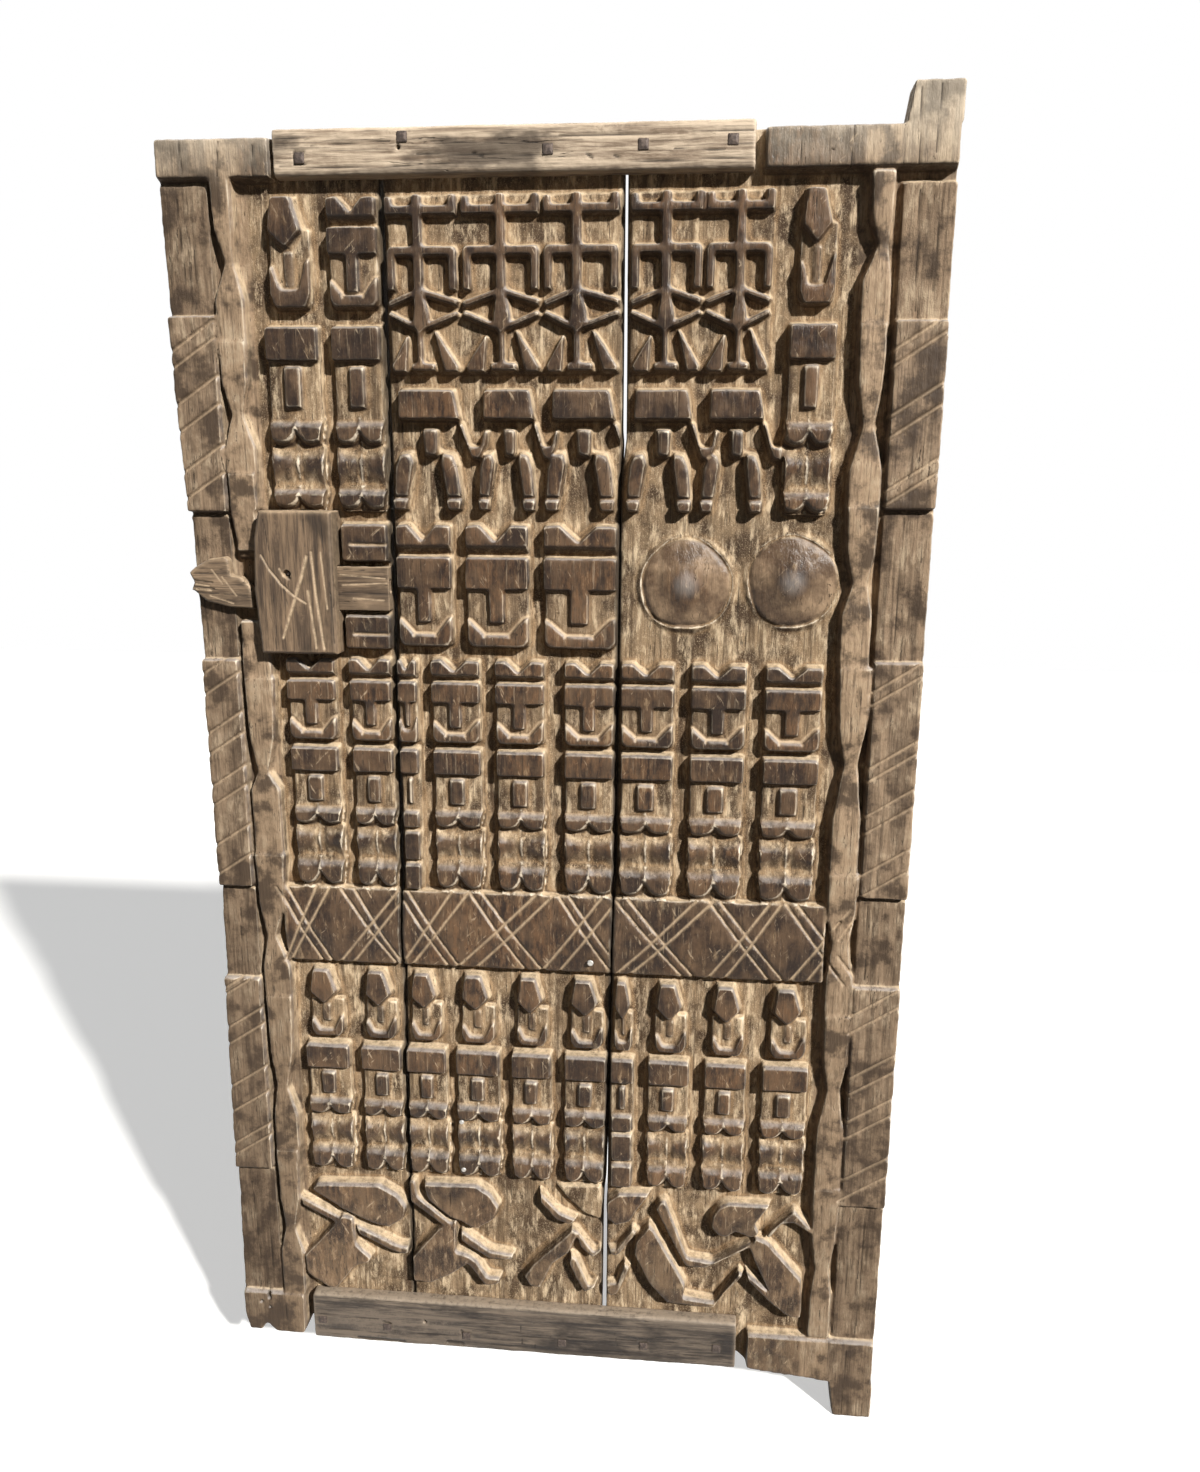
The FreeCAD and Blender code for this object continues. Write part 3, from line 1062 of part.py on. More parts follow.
def lock_bolt():
    """Sliding bolt: worn head over the border, bar through the case, sockets and key channel."""
    thin_bar, thick_bar = bolt_profile_boxes(0, 0)
    head_box = (BOLT_LEFT_X, LEFT_X + BOLT_HEAD_END, BOLT_TOP_Z, BOLT_TOP_Z - BOLT_HEIGHT)
    points = outline(head_box, BOLT_HEAD_SHARES)
    head = faceted([loop(points, BOLT_THIN_BACK_Y), loop(points, BOLT_FRONT_Y),
                    loop(inset(points, [BOLT_CORNER] * 4), BOLT_FRONT_Y - BOLT_HEAD_RISE)])
    neck = box_between(LEFT_X + BOLT_HEAD_END - OVERRUN, LEFT_X + BOLT_NECK_END,
                       BOLT_FRONT_Y - BOLT_HEAD_RISE - OVERRUN, BOLT_FRONT_Y + BOLT_NECK_SETBACK,
                       BOLT_TOP_Z - BOLT_HEIGHT - OVERRUN, BOLT_TOP_Z + OVERRUN)
    bar = box_between(*thin_bar).fuse(box_between(*thick_bar)).cut(neck)
    body = head.fuse(bar)
    channel_start = tumbler_x(0) + BOLT_TRAVEL - KEY_CHANNEL_LEAD
    tools = [box_between(channel_start, BOLT_RIGHT_X + OVERRUN,
                         TUMBLER_Y - KEY_CHANNEL_DEPTH / 2, TUMBLER_Y + KEY_CHANNEL_DEPTH / 2,
                         BOLT_TOP_Z - KEY_CHANNEL_DROP - KEY_CHANNEL_HEIGHT,
                         BOLT_TOP_Z - KEY_CHANNEL_DROP)]
    for index in range(len(TUMBLER_NAMES)):
        x, half = tumbler_x(index) + BOLT_TRAVEL, TUMBLER_SIDE / 2 + SOCKET_CLEARANCE
        tools.append(box_between(x - half, x + half, TUMBLER_Y - half, TUMBLER_Y + half,
                                 BOLT_TOP_Z - KEY_CHANNEL_DROP - OVERRUN, BOLT_TOP_Z + OVERRUN))
    return body.cut(tools)


def tumbler(index):
    """Tumbler resting on the bolt: square peg with a wider head that stops on its shoulder."""
    x = tumbler_x(index)
    head_z = TUMBLER_FOOT_Z + SHOULDER_HEIGHT + TUMBLER_DROP
    bars = []
    for side, z0, z1 in ((TUMBLER_SIDE, TUMBLER_FOOT_Z, head_z),
                         (TUMBLER_HEAD_SIDE, head_z, head_z + TUMBLER_HEAD_HEIGHT)):
        bars.append(box_between(x - side / 2, x + side / 2, TUMBLER_Y - side / 2,
                                TUMBLER_Y + side / 2, z0, z1))
    return bars[0].fuse(bars[1])


def tack_holes():
    return [square_bar(x, z, TACK_SHANK_SIDE + 2 * TACK_CLEARANCE, FRONT_Y - OVERRUN,
                       FRONT_Y + TACK_SHANK_LENGTH) for x, z, _ in tack_places()]


def build():
    nodes = {
        "left_plank": left_plank(),
        "middle_plank": middle_plank(),
        "right_plank": right_plank(),
        "top_batten": batten(top_batten_box(), EMPTY_HOLE_SHARES[0]),
        "bottom_batten": batten(bottom_batten_box(), EMPTY_HOLE_SHARES[1]),
        "top_batten_nails": nails(top_batten_box(), TOP_NAIL_SHARES),
        "bottom_batten_nails": nails(bottom_batten_box(), BOTTOM_NAIL_SHARES),
        "round_tacks": round_tacks(),
        "lock_case": lock_case(),
        "lock_case_spikes": lock_case_spikes(),
        "lock_case_nail": lock_case_nail(),
        "lock_bolt": lock_bolt()}
    for index, name in enumerate(TUMBLER_NAMES):
        nodes[name] = tumbler(index)
    return nodes


def main():
    os.makedirs("parts", exist_ok=True)
    for name, shape in build().items():
        print(name, len(shape.Solids), shape.isValid(), round(shape.Volume))
        shape.exportStep("parts/" + name + ".step")


main()
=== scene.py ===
import math
from functools import partial
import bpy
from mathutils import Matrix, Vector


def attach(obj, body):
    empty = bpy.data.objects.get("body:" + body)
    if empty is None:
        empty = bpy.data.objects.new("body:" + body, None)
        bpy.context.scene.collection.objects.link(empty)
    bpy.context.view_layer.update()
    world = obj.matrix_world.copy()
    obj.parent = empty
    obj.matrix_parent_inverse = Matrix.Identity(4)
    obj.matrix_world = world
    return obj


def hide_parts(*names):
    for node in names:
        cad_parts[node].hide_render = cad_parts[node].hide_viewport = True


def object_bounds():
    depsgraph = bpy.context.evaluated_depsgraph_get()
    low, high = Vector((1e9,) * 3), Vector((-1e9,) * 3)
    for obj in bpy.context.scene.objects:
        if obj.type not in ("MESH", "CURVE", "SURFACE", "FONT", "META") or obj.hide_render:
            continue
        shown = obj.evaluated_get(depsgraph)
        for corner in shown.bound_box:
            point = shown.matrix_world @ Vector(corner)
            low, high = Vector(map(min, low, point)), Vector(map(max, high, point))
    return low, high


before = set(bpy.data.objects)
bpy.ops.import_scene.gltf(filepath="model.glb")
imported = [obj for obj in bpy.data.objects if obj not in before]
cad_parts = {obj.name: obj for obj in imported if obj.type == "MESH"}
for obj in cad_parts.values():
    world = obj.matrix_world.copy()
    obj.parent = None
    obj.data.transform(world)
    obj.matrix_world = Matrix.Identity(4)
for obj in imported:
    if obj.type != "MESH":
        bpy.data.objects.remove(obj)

from types import SimpleNamespace

import bmesh
import bpy
import numpy as np
from bpy.props import FloatProperty, IntProperty, PointerProperty
from bpy.types import Operator, Panel, PropertyGroup
from mathutils import Matrix, Vector

bl_info = {
    "name": "Carved Granary Door",
    "version": (1, 0, 0),
    "blender": (4, 5, 0),
    "location": "View3D > Sidebar > Granary Door",
    "description": "Weathered planks, battens, nails and lock around the packed door",
    "category": "Object",
}

CAD_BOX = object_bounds()

# Depths of the carved side, in metres: the uncut front and the ground of the relief
FRONT_Y = -0.024
GROUND_Y = -0.006

# Upper left corner of the leaf's front, from which marks are measured across and down
CORNER = (-0.825, 1.562)

# Marks in millimetres across and down from that corner: from, to, width and depth of each.
# Scratches lay fresh wood bare, cracks are dark.
CASE_SCRATCHES = (
    (99, 440, 108, 456, 2.6, 1.3), (108, 456, 122, 474, 3.2, 1.6), (122, 474, 136, 486, 3.4, 1.6),
    (136, 486, 149, 494, 2.6, 1.2), (152, 441, 146, 462, 5.0, 1.2), (146, 462, 137, 486, 5.0, 1.4),
    (136, 490, 128, 512, 4.6, 1.3), (128, 512, 120, 534, 3.6, 1.0), (158, 436, 161, 482, 4.0, 1.2),
    (161, 482, 168, 546, 4.2, 1.2), (152, 480, 159, 545, 3.6, 0.9), (169, 436, 174, 500, 2.4, 0.7),
    (120, 455, 124, 463, 3.0, 0.8))
CASE_CRACKS = (
    (126, 462, 131, 466, 3.4, 2.2), (104, 400, 109, 436, 1.2, 0.7), (178, 470, 180, 540, 1.2, 0.6),
    (112, 520, 110, 551, 1.1, 0.6), (150, 400, 151, 430, 1.0, 0.5))
BOLT_SCRATCHES = (
    (186, 462, 238, 466, 2.2, 0.5), (188, 474, 240, 471, 2.0, 0.5), (200, 489, 236, 491, 2.4, 0.5),
    (8, 474, 30, 477, 2.4, 0.9), (7, 480, 32, 482, 2.2, 0.9), (34, 458, 46, 474, 1.8, 0.5),
    (46, 466, 62, 488, 1.8, 0.5), (30, 488, 58, 497, 1.8, 0.5))
BOLT_CRACKS = (
    (6, 470, 34, 473, 1.8, 1.6), (6, 477, 36, 480, 1.6, 1.4), (10, 484, 40, 486, 1.3, 0.9),
    (12, 463, 30, 462, 1.3, 0.9), (186, 482, 242, 484, 1.2, 0.7), (190, 456, 214, 457, 1.0, 0.6))
TOP_BATTEN_CRACKS = (
    (140, 32, 250, 34, 1.5, 1.2), (250, 34, 330, 31, 1.2, 0.9), (176, 12, 262, 9, 1.2, 0.9),
    (290, 22, 410, 25, 1.6, 1.3), (410, 25, 470, 24, 1.0, 0.7), (440, 8, 640, 6, 1.4, 1.0),
    (510, 34, 640, 31, 1.4, 1.1), (560, 22, 612, 24, 1.2, 0.9), (136, 4, 170, 5, 1.2, 0.9),
    (350, 22, 360, 26, 3.0, 1.2), (469, 25, 475, 29, 3.0, 1.2), (498, 27, 502, 29, 3.0, 1.0),
    (157, 18, 169, 18, 2.4, 1.5), (157, 30, 169, 30, 2.4, 1.5), (157, 18, 157, 30, 2.4, 1.5))
BOTTOM_BATTEN_CRACKS = (
    (160, 1496, 224, 1497, 6.0, 2.2), (284, 1493, 304, 1493, 7.0, 2.6),
    (108, 1462, 190, 1464, 1.3, 1.0), (210, 1480, 300, 1482, 1.3, 0.9),
    (120, 1484, 200, 1486, 1.4, 1.0), (318, 1472, 430, 1476, 1.4, 1.1),
    (330, 1490, 420, 1492, 1.2, 0.8), (384, 1458, 386, 1486, 1.0, 0.8),
    (446, 1470, 540, 1468, 1.4, 1.0), (468, 1488, 560, 1487, 1.3, 0.9),
    (510, 1456, 514, 1478, 1.0, 0.7), (560, 1468, 640, 1464, 1.3, 1.0),
    (580, 1486, 664, 1482, 1.2, 0.8), (196, 1467, 206, 1470, 2.6, 1.6),
    (303, 1472, 306, 1478, 3.4, 2.0), (402, 1500, 404, 1484, 1.0, 0.8))
PLANK_CRACKS = {
    "left_plank": (
        (37, 1437, 38, 1444, 5.0, 5.0), (27, 1450, 27, 1450, 5.5, 5.0),
        (38, 1457, 39, 1458, 4.0, 3.5), (30, 2, 33, 38, 1.6, 1.2),
        (74, 6, 71, 40, 1.4, 1.1), (112, 10, 110, 40, 1.3, 0.9),
        (20, 60, 24, 150, 1.3, 0.9), (36, 95, 34, 172, 1.2, 0.8), (14, 420, 20, 560, 1.3, 0.8),
        (34, 880, 30, 960, 1.4, 1.0), (22, 1270, 27, 1400, 1.4, 1.0),
        (44, 1300, 42, 1420, 1.2, 0.9), (60, 1448, 62, 1494, 1.4, 1.0)),
    "middle_plank": ((292, 1246, 296, 1330, 1.2, 0.8), (372, 1256, 370, 1290, 1.2, 0.8)),
    "right_plank": (
        (688, 4, 690, 40, 1.3, 0.9), (742, 2, 740, 42, 1.3, 1.0), (806, -30, 808, 40, 1.4, 1.0),
        (826, -34, 824, 30, 1.2, 0.9), (812, 62, 815, 180, 1.4, 1.0),
        (834, 80, 832, 160, 1.2, 0.8), (818, 392, 816, 540, 1.4, 1.0),
        (806, 846, 808, 940, 1.3, 0.9), (828, 1255, 826, 1430, 1.5, 1.1),
        (808, 1290, 810, 1400, 1.2, 0.9), (814, 1460, 812, 1560, 1.4, 1.1),
        (640, 425, 642, 520, 1.0, 0.6), (735, 1380, 737, 1430, 1.2, 0.8))}

# Dirt along the two seams, in the same measures
SEAMS = (
    (235, 1500, 237, 1102, 9, 0.7), (237, 1102, 241, 832, 9, 0.7), (241, 832, 244, 382, 9, 0.7),
    (244, 382, 245, 20, 9, 0.7), (493, 1500, 494, 1282, 9, 0.7), (494, 1282, 503, 832, 9, 0.7),
    (503, 832, 506, 382, 9, 0.7), (506, 382, 510, 292, 9, 0.7), (510, 292, 509, 20, 9, 0.7))

# Heights between which the seam beside the right plank is closed behind, a place left of that
# seam, how far the middle plank swells into it, and over what height that fades
CLOSED_SEAM = (0.290, 1.270)
SEAM_LEFT = -0.360
SEAM_SWELLING = 0.0022
SEAM_FADE = 0.03

# Middles of the two domes and their size, in metres in the door's frame
DOMES = ((-0.243, 0, 1.093), (-0.124, 0, 1.097))
DOME_RADIUS = 0.051

# Middle and half of the leaf's width, and the width of border with strip and of border alone
MIDDLE_X = -0.400
HALF_WIDTH = 0.425
SIDE_WIDTH = 0.096
BORDER_WIDTH = 0.057

# Colours of the woods, iron and floor
EARTH = (0.058, 0.034, 0.018)
GROUND = (0.300, 0.208, 0.122)
# Dust, also the painted highlight on ground faces toward the key light
DUST_AND_PAINTED_HIGHLIGHT = (0.720, 0.560, 0.370)
OCHRE = (0.380, 0.235, 0.115)
PATINA = (0.020, 0.011, 0.007)
POLISH = (0.112, 0.069, 0.040)
RUSSET = (0.170, 0.090, 0.044)
# Worn wood, also the painted highlight on rims toward the key light
WORN_AND_PAINTED_HIGHLIGHT = (0.520, 0.400, 0.270)
PALE = (0.820, 0.710, 0.550)
# Painted sheen on tops toward the key light and at the domes' tips
PAINTED_SHEEN = (0.430, 0.385, 0.350)
STRIP = (0.400, 0.280, 0.175)
SIDE = (0.320, 0.224, 0.143)
SIDE_DARK = (0.038, 0.024, 0.015)
FRESH = (0.560, 0.420, 0.275)
# Dirt, and painted shade in crevices and on faces away from the key light
DIRT_AND_PAINTED_SHADE = (0.026, 0.014, 0.008)
CRACK = (0.012, 0.008, 0.005)
# Light, middle, dark and fresh tone of each plain wood; the fresh tone is also the painted
# highlight, the dark tone also the painted shade in crevices
TOP_BATTEN = (
    (0.600, 0.480, 0.350), (0.210, 0.150, 0.100), (0.040, 0.028, 0.020), (0.700, 0.580, 0.440))
BOTTOM_BATTEN = (
    (0.150, 0.117, 0.088), (0.030, 0.023, 0.018), (0.010, 0.007, 0.006), (0.430, 0.345, 0.255))
CASE = ((0.230, 0.156, 0.096), (0.066, 0.043, 0.027), (0.016, 0.010, 0.006), FRESH)
BOLT = ((0.280, 0.195, 0.122), (0.086, 0.057, 0.036), (0.022, 0.014, 0.009), FRESH)
# Two tones of each metal
IRON = ((0.060, 0.045, 0.038), (0.130, 0.098, 0.080))
TACK = ((0.420, 0.400, 0.370), (0.580, 0.560, 0.520))
# Floor as it is seen, as it throws light back, and its glow for the eye
FLOOR = (0.80, 0.80, 0.79)
FLOOR_BOUNCE = (0.06, 0.056, 0.052)
FLOOR_GLOW = 0.38
FLOOR_SIZE = 12

# Lamps: name, width in degrees, colour and the way that the light goes
LAMPS = (
    ("key", 3, (1.0, 0.975, 0.940), (-0.9, 1.0, -0.88)),
    ("sky", 60, (0.80, 0.90, 1.0), (-0.15, 0.55, -1.0)),
    ("back", 60, (1.0, 0.98, 0.95), (0.5, -1.0, -0.6)))
WORLD_COLOUR = (0.92, 0.95, 1.0)

# A face whose normal has less than this along Y looks forward
FORWARD = -0.3

# Carved lines: how far behind the front they still count, their fold, width and depth
LINE_REACH = 0.009
LINE_FOLD = -0.6
LINE_WIDTH = 0.0042
LINE_DEPTH = 0.0016

# The low points in the middle of leg blocks lie between these heights over the ground and this
# much under their neighbours; barrels have the lower ones
HUB_HEIGHTS = (0.0025, 0.0075)
HUB_DIP = 0.002
BARREL_HUB_HEIGHT = 0.0045

# Relief of the legs: heights as shares of the carved depth, and how far around a block the
# skin is cut down to them
LEG_FULL = 0.96
LEG_LOW = 0.30
BLOCK_MARGIN = 0.0025

# How often, and how strongly, a skin is averaged to find its edges and corners, and how far
# points stand out of it, or sink under it, for full wear, edge and crevice
AVERAGING_STEPS = (1, 4, 9, 28)
AVERAGING_SHARE = 0.8
FULL_WEAR = 0.0007
FULL_EDGE = 0.0018
FULL_CREVICE = 0.0024

# Passes of smoothing, depth of the unevenness and most triangles of each kind of piece
BATTEN_SKIN = (3, 0.0014, 120000)
LOCK_SKIN = (2, 0.0008, 150000)
TUMBLER_SKIN = (1, 0.0001, 20000)
IRON_SKIN = (2, 0.0003, 60000)
# The planks' backs stay flat behind this depth
PLANK_CARVED_Y = -0.004

# Camera fitted to the door's vanishing points: its place, its right and its up in the door's frame
CAMERA_PLACE = (-0.2254, -1.2757, 1.2129)
CAMERA_RIGHT = (0.99580, 0.09137, 0.00536)
CAMERA_UP = (-0.02611, 0.22744, 0.97344)
CAMERA_LENS = 27.147
CAMERA_SENSOR = 36.0


# Properties

class DoorCarvingSettings(PropertyGroup):
    """Sizes of the carved planks"""
    voxel: FloatProperty(name="Voxel", description="Cell size of the carved surface",
                         default=0.0015, unit="LENGTH")
    smoothing: IntProperty(name="Smoothing", description="Passes that round the carved edges",
                           default=6)
    waviness: FloatProperty(name="Waviness", description="Depth of the uneven hand-cut surface",
                            default=0.0018, unit="LENGTH")
    triangles: IntProperty(name="Triangles", description="Most triangles in one plank",
                           default=196000)


class DoorPlainSettings(PropertyGroup):
    """Sizes of battens, lock and nails"""
    batten_voxel: FloatProperty(name="Batten voxel", description="Cell size of the battens",
                                default=0.0016, unit="LENGTH")
    lock_voxel: FloatProperty(name="Lock voxel", description="Cell size of case and bolt",
                              default=0.0011, unit="LENGTH")
    tumbler_voxel: FloatProperty(name="Tumbler voxel", description="Cell size of the tumblers",
                                 default=0.0006, unit="LENGTH")
    iron_voxel: FloatProperty(name="Iron voxel", description="Cell size of nails and tacks",
                              default=0.0005, unit="LENGTH")


class DoorStageSettings(PropertyGroup):
    """Lights"""
    key: FloatProperty(name="Key", description="Strength of the light from the upper right",
                       default=6.4)
    sky: FloatProperty(name="Sky", description="Strength of the soft light from above",
                       default=0.15)
    back: FloatProperty(name="Back", description="Strength of the soft light behind the door",
                        default=1.2)
    fill: FloatProperty(name="Fill", description="Strength of the light from all around",
                        default=0.036)


# Mesh helpers

def deselect_all():
    if bpy.context.object and bpy.context.object.mode != "OBJECT":
        bpy.ops.object.mode_set(mode="OBJECT")
    bpy.ops.object.select_all(action="DESELECT")


def activate(piece):
    deselect_all()
    piece.select_set(True)
    bpy.context.view_layer.objects.active = piece


def copy_of_node(node, name):
    """New piece with a merged copy of a CAD node's mesh."""
    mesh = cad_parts[node].data.copy()
    mesh.name = name
    mesh.materials.clear()
    piece = bpy.data.objects.new(name, mesh)
    bpy.context.scene.collection.objects.link(piece)
    activate(piece)
    bpy.ops.object.mode_set(mode="EDIT")
    bpy.ops.mesh.select_all(action="SELECT")
    bpy.ops.mesh.remove_doubles(threshold=0.00001)
    bpy.ops.object.mode_set(mode="OBJECT")
    return piece


def bake(piece, *modifiers):
    """Run one or more modifiers, given as (kind, values), and keep the mesh that they make."""
    for kind, values in modifiers:
        modifier = piece.modifiers.new(kind.title(), kind)
        for key, value in values.items():
            setattr(modifier, key, value)
    graph = bpy.context.evaluated_depsgraph_get()
    mesh = bpy.data.meshes.new_from_object(piece.evaluated_get(graph))
    old = piece.data
    piece.modifiers.clear()
    piece.data = mesh
    mesh.name = old.name
    bpy.data.meshes.remove(old)


def mesh_vectors(elements, name):
    """Places or normals of all elements, a row for each."""
    flat = np.empty(len(elements) * 3, np.float32)
    elements.foreach_get(name, flat)
    return flat.reshape(-1, 3)


def places_and_normals(mesh):
    return mesh_vectors(mesh.vertices, "co"), mesh_vectors(mesh.vertex_normals, "vector")


def write_places(mesh, places):
    mesh.vertices.foreach_set("co", places.reshape(-1))
    mesh.update()


def write_attribute(mesh, name, values):
    attribute = mesh.attributes.new(name, "FLOAT", "POINT")
    attribute.data.foreach_set("value", values)


def relief_y(share):
    """Depth at which a share of the relief's height over its ground lies."""
    return GROUND_Y - (GROUND_Y - FRONT_Y) * share


def cloud_texture(name, size, depth):
    texture = bpy.data.textures.new(name, "CLOUDS")
    texture.noise_scale = size
    texture.noise_depth = depth
    return texture


def cut_lines(piece):
    """V grooves of a carved front: concave edges between two faces that both look forward."""
    work = bmesh.new()
    work.from_mesh(piece.data)
    lines = []
    for edge in work.edges:
        if len(edge.link_faces) != 2 or max(v.co.y for v in edge.verts) > FRONT_Y + LINE_REACH:
            continue
        if edge.calc_face_angle_signed(0) > LINE_FOLD:
            continue
        if max(face.normal.y for face in edge.link_faces) < FORWARD:
            a, b = (vert.co for vert in edge.verts)
            lines.append((a.x, a.z, b.x, b.z, LINE_WIDTH, LINE_DEPTH))
    work.free()
    return lines


def leg_blocks(piece):
    """Extents of the hollowed blocks of the legs, each known by the low point in its middle."""
    work = bmesh.new()
    work.from_mesh(piece.data)
    blocks = []
    low, high = HUB_HEIGHTS
    for vert in work.verts:
        ring = [edge.other_vert(vert).co for edge in vert.link_edges]
        if len(ring) < 6 or vert.co.y < GROUND_Y - high or vert.co.y > GROUND_Y - low:
            continue
        if max(co.y for co in ring) > vert.co.y - HUB_DIP:
            continue
        x, z = [co.x for co in ring], [co.z for co in ring]
        blocks.append((min(x), max(x), min(z), max(z), vert.co.y > GROUND_Y - BARREL_HUB_HEIGHT))
    work.free()
    return blocks


def smooth_share(value):
    """0 to 1 with soft ends."""
    value = np.clip(value, 0, 1)
    return value * value * (3 - 2 * value)


def lobes(side, drop):
    """Two hanging lobes with a pale bevel over them and a gable between them."""
    edge = 0.48 + 0.50 * np.sqrt(np.clip(1 - ((side - 0.56) / 0.53) ** 2, 0, 1))
    top = 0.52 + (LEG_FULL - 0.52) * smooth_share(drop / 0.34)
    lobe = LEG_LOW + (top - LEG_LOW) * smooth_share((edge - drop) / 0.14)
    return lobe + 0.16 * np.clip(1 - side / 0.10, 0, 1)


def thigh(side, drop):
    """Barrel between the lobes, with a leaf-shaped hollow and a sharp ridge in its middle."""
    barrel = LEG_LOW + 0.50 * smooth_share(drop / 0.42) - 0.42 * smooth_share((drop - 0.40) / 0.62)
    leaf = 0.34 * np.sin(np.pi * np.clip((drop - 0.05) / 0.92, 0, 1)) + 0.04
    hollow = -0.20 * np.clip(1 - (side / leaf) ** 2, 0, 1)
    ends = 0.16 * smooth_share((side - 0.55) / 0.45)
    return barrel + hollow + ends + 0.24 * np.clip(1 - side / 0.11, 0, 1)


def close_seam(piece):
    """Let the middle plank meet the right one behind the seam, between its two open cracks."""
    places, normals = places_and_normals(piece.data)
    low, high = CLOSED_SEAM
    x, y, z = places.T
    share = smooth_share((z - low) / SEAM_FADE) * smooth_share((high - z) / SEAM_FADE)
    share *= smooth_share(y / 0.004) * smooth_share((0.021 - y) / 0.003)
    x += SEAM_SWELLING * share * ((normals[:, 0] > 0.8) & (x > SEAM_LEFT))
    write_places(piece.data, places)


def carve_domes(piece):
    """Give the domes a low rim, sloping sides and a blunt tip."""
    places, normals = places_and_normals(piece.data)
    forward = normals[:, 1] < FORWARD
    for x, _, z in DOMES:
        across, up = places[:, 0] - x, places[:, 2] - z
        angle = np.arctan2(up, across)
        reach = DOME_RADIUS * (1 + 0.030 * np.sin(3 * angle + x * 40) + 0.020 * np.sin(5 * angle))
        gap = np.hypot(across, up) / reach
        near = np.flatnonzero(forward & (gap < 1))
        slope = 1 - np.sqrt(gap[near] ** 2 + 0.012) + 0.10
        share = (0.16 + 0.80 * slope) * smooth_share((1 - gap[near]) / 0.07)
        places[near, 1] = relief_y(share)
    write_places(piece.data, places)


def carve_legs(piece, blocks):
    """Give the blocks of the legs their lobes, barrels and ridges."""
    places, normals = places_and_normals(piece.data)
    forward = normals[:, 1] < FORWARD
    for left, right, low, high, barrel in blocks:
        near = np.flatnonzero(
            (places[:, 1] < GROUND_Y - 0.001)
            & (places[:, 0] > left - BLOCK_MARGIN) & (places[:, 0] < right + BLOCK_MARGIN)
            & (places[:, 2] > low) & (places[:, 2] < high + BLOCK_MARGIN))
        side = np.clip(np.abs(2 * (places[near, 0] - left) / (right - left) - 1), 0, 1)
        drop = np.clip((high - places[near, 2]) / (high - low), 0, 1)
        level = relief_y((thigh if barrel else lobes)(side, drop))
        inside = forward[near] & (places[near, 0] > left) & (places[near, 0] < right)
        places[near, 1] = np.where(inside, level, np.maximum(places[near, 1], level))
    write_places(piece.data, places)


def from_corner(marks):
    """Marks in metres in the door's frame."""
    x, z = CORNER
    return [(x + a / 1000, z - b / 1000, x + c / 1000, z - d / 1000, width / 1000, depth / 1000)
            for a, b, c, d, width, depth in marks]


def press_marks(piece, name, marks):
    """Press lines and dots into the forward faces and write how deep each point lies in one."""
    places, normals = places_and_normals(piece.data)
    forward = normals[:, 1] < -0.2
    front = places[:, 1] < (places[:, 1].min() + places[:, 1].max()) / 2
    inside = np.zeros(len(places), np.float32)
    push = np.zeros(len(places), np.float32)
    for ax, az, bx, bz, width, depth in marks:
        low, high = np.minimum((ax, az), (bx, bz)) - width, np.maximum((ax, az), (bx, bz)) + width
        near = np.flatnonzero(front & (places[:, 0] > low[0]) & (places[:, 0] < high[0])
                              & (places[:, 2] > low[1]) & (places[:, 2] < high[1]))
        if not len(near):
            continue
        x, z = places[near, 0] - ax, places[near, 2] - az
        dx, dz = bx - ax, bz - az
        along = np.clip((x * dx + z * dz) / max(dx * dx + dz * dz, 1e-9), 0, 1)
        gap = np.hypot(x - along * dx, z - along * dz)
        share = smooth_share(1.25 - gap / (width * 0.5))
        inside[near] = np.maximum(inside[near], share)
        push[near] = np.maximum(push[near], share * depth)
    places[:, 1] += push * forward
    write_attribute(piece.data, name, inside)
    write_places(piece.data, places)


def carve_surface(piece, voxel, smoothing, waviness, triangles, shaping=(), carved_y=1.0,
                  scratches=(), cracks=()):
    """Even skin over the piece, shaped by some functions, with softened edges, the unevenness of
    a cut by hand on what lies in front of carved_y, and pressed marks."""
    bake(piece, ("REMESH", {"mode": "VOXEL", "voxel_size": voxel}))
    for shape in shaping:
        shape(piece)
    soften_and_measure(piece, smoothing)
    broad = cloud_texture(piece.name + "_broad", 0.030, 2)
    fine = cloud_texture(piece.name + "_fine", 0.007, 2)
    carved = piece.vertex_groups.new(name="carved")
    y = mesh_vectors(piece.data.vertices, "co")[:, 1]
    carved.add(np.flatnonzero(y < carved_y).tolist(), 1.0, "REPLACE")
    shared = {"mid_level": 0.5, "vertex_group": "carved"}
    bake(piece, ("DISPLACE", {"texture": broad, "strength": waviness, **shared}),
         ("DISPLACE", {"texture": fine, "strength": waviness * 0.5, **shared}))
    press_marks(piece, "scratch", scratches)
    press_marks(piece, "crack", cracks)
    corners = np.empty(len(piece.data.polygons), np.int32)
    piece.data.polygons.foreach_get("loop_total", corners)
    count = int(corners.sum()) - 2 * len(corners)
    if count > triangles:
        bake(piece, ("DECIMATE", {"ratio": triangles / count}))
    places = mesh_vectors(piece.data.vertices, "co").clip(*CAD_BOX)
    piece.data.vertices.foreach_set("co", places.reshape(-1))
    activate(piece)
    bpy.ops.object.shade_smooth()


